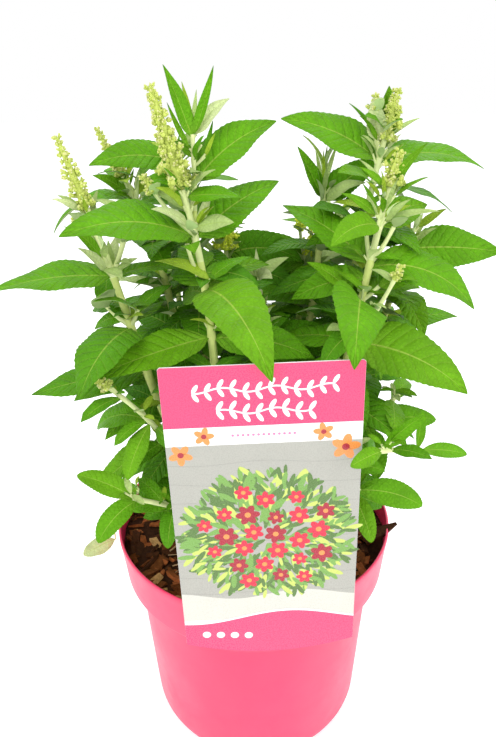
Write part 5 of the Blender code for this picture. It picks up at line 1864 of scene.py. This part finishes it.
class BUSH_OT_buds(bpy.types.Operator):
    """Sets the whorled flower buds on every spike"""
    bl_idname = "bush.buds"
    bl_label = "Flower buds"

    def execute(self, context):
        settings = context.scene.bush.buds
        bm = bmesh.new()
        rng = random.Random(SEED + 3)
        for mass in grown_masses():
            for cluster in mass.clusters:
                inner = mass.shoot.name.startswith("back_") and cluster.start.z < INNER_BUD_TOP
                self.lay_cluster(bm, cluster, settings.length, inner, rng)
        finishes = [mottled("bud_green", settings.color, 0.7, 300.0, 0.15, 2000.0, 0.0002, 0.4),
                    mottled("bud_cream", CREAM_COLOR, 0.7, 300.0, 0.12),
                    mottled("bud_stalk", shaded(settings.color, 0.85), 0.75, 300.0, 0.12),
                    # the last finish is painted light, a brighter colour for the clusters in the
                    # shade
                    mottled("bud_in_the_shade", PAINTED_LIGHT_BUD_COLOR, 0.7, 300.0, 0.15)]
        add_piece("flower_buds", bm, finishes, (), 80)
        return {"FINISHED"}

    def lay_cluster(self, bm, cluster, size, inner, rng):
        """Whorls of small bunches round an axis, shorter towards the tip."""
        core, shares = (3, INNER_BUD_SHARES) if inner else (0, BUD_SHARES)
        along = cluster.along
        across = along.orthogonal().normalized()
        beside = along.cross(across)
        axis = straight(cluster.start, along, cluster.length)
        lay_rod(bm, axis, 0.0, cluster.length,
                taper(0.0, cluster.length, *CLUSTER_STALK), 6, 5.0, 0.0, 2)
        full = cluster.radius * CLUSTER_FULLNESS
        lay_rod(bm, axis, cluster.length * 0.06, cluster.length * 0.97,
                taper(0.0, cluster.length, *(full * part for part in CLUSTER_CORE)),
                8, 2.5, 0.0, core)
        whorls = max(4, round(cluster.length / BUD_WHORL))
        for whorl in range(whorls):
            share = (whorl + 0.4) / whorls
            radius = full * (1.0 - CLUSTER_TAPER * share ** CLUSTER_CURVE)
            radius *= WHORL_SWELLS[whorl % len(WHORL_SWELLS)]
            bunches = max(4, round(3.4 + radius * 0.6))
            for bunch in range(bunches):
                turn = math.tau * (bunch + 0.5 * (whorl % 2)) / bunches + rng.uniform(-0.3, 0.3)
                out = across * math.cos(turn) + beside * math.sin(turn)
                root = cluster.start + along * cluster.length * share
                reach = radius * rng.uniform(*BUNCH_REACH)
                if share < 0.6 and rng.random() < STRAY_BUNCHES:
                    reach *= STRAY_STALK
                    stalk = straight(root, (out + along * 0.5).normalized(), reach)
                    lay_rod(bm, stalk, 0.0, reach, lambda distance: 0.35, 5, 4.0, 0.0, 2)
                middle = root + out * reach + along * (reach * 0.4 + rng.uniform(-0.5, 0.8))
                cushion = 0.5 + 0.2 * radius
                lay_bud(bm, middle, along, 2.0 * cushion, 0.9 * cushion, core)
                for _ in range(max(3, round(2.5 + 0.8 * radius))):
                    lean = (out + along * rng.uniform(-0.3, 1.4)
                            + Vector([rng.uniform(-1, 1) for _ in range(3)])).normalized()
                    length = size * rng.uniform(*BUD_SPREAD) * (1.0 - 0.35 * share)
                    lay_bud(bm, middle + lean * cushion, lean, length, length * BUD_PLUMPNESS,
                            rng.choices(range(len(shares)), shares)[0])


class BUSH_OT_stage(bpy.types.Operator):
    """Sets the pale floor, the soft light and the camera"""
    bl_idname = "bush.stage"
    bl_label = "Stage"

    def execute(self, context):
        settings = context.scene.bush.stage
        bm = bmesh.new()
        bmesh.ops.create_grid(bm, x_segments=1, y_segments=1, size=FLOOR_REACH)
        floor = made_object("floor", bm)
        finish = Finish("pale_floor", settings.floor, 0.9, Emission_Color=(1, 1, 1, 1),
                        Emission_Strength=0.35)
        floor.data.materials.append(finish.material)
        context.scene.collection.objects.link(floor)
        for name, place, size, share in LIGHTS:
            self.add_light(context, name, place, size, settings.light * share)
        world = bpy.data.worlds.new("studio")
        world.use_nodes = True
        world.node_tree.nodes["Background"].inputs["Color"].default_value = (1, 1, 1, 1)
        world.node_tree.nodes["Background"].inputs["Strength"].default_value = 1.0
        context.scene.world = world
        context.scene.view_settings.view_transform = "Standard"
        self.add_camera(context)
        return {"FINISHED"}

    def add_light(self, context, name, place, size, power):
        data = bpy.data.lights.new(name, "AREA")
        data.size = size
        data.energy = power
        lamp = bpy.data.objects.new(name, data)
        lamp.location = place
        aim = Vector(LIGHT_AIM) - Vector(place)
        lamp.rotation_euler = aim.to_track_quat("-Z", "Y").to_euler()
        context.scene.collection.objects.link(lamp)

    def add_camera(self, context):
        pitch, pan, roll = (math.radians(turn) for turn in CAMERA_TURNS)
        ahead = Vector((math.sin(pan) * math.cos(pitch), math.cos(pan) * math.cos(pitch),
                        -math.sin(pitch)))
        right = ahead.cross(Vector((0, 0, 1))).normalized()
        up = right.cross(ahead)
        tilted = right * math.cos(roll) + up * math.sin(roll)
        upper = up * math.cos(roll) - right * math.sin(roll)
        data = bpy.data.cameras.new("view")
        data.lens = CAMERA_LENS
        data.sensor_width = CAMERA_SENSOR
        camera = bpy.data.objects.new("view", data)
        turn = Matrix((tilted, upper, -ahead)).transposed().to_4x4()
        camera.matrix_world = Matrix.Translation(CAMERA_PLACE) @ turn
        context.scene.collection.objects.link(camera)
        context.scene.camera = camera


class BUSH_PT_panel(bpy.types.Panel):
    """Lists the bush's pieces"""
    bl_idname = "BUSH_PT_panel"
    bl_label = "Potted bush"
    bl_space_type = "VIEW_3D"
    bl_region_type = "UI"
    bl_category = "Bush"

    def draw(self, context):
        for operator in OPERATORS:
            self.layout.operator(operator.bl_idname)


OPERATORS = (BUSH_OT_pot, BUSH_OT_compost, BUSH_OT_label, BUSH_OT_stems, BUSH_OT_leaves,
             BUSH_OT_buds, BUSH_OT_stage)
CLASSES = (PotSettings, CompostSettings, LabelSettings, StemSettings, LeafSettings, BudSettings,
           StageSettings, BushSettings, *OPERATORS, BUSH_PT_panel)


def register():
    for cls in CLASSES:
        bpy.utils.register_class(cls)
    bpy.types.Scene.bush = PointerProperty(type=BushSettings)


def unregister():
    del bpy.types.Scene.bush
    for cls in reversed(CLASSES):
        bpy.utils.unregister_class(cls)


def main():
    register()
    for piece in ("pot", "compost", "label", "stems", "leaves", "buds", "stage"):
        getattr(bpy.ops.bush, piece)()


if __name__ == "__main__":
    main()
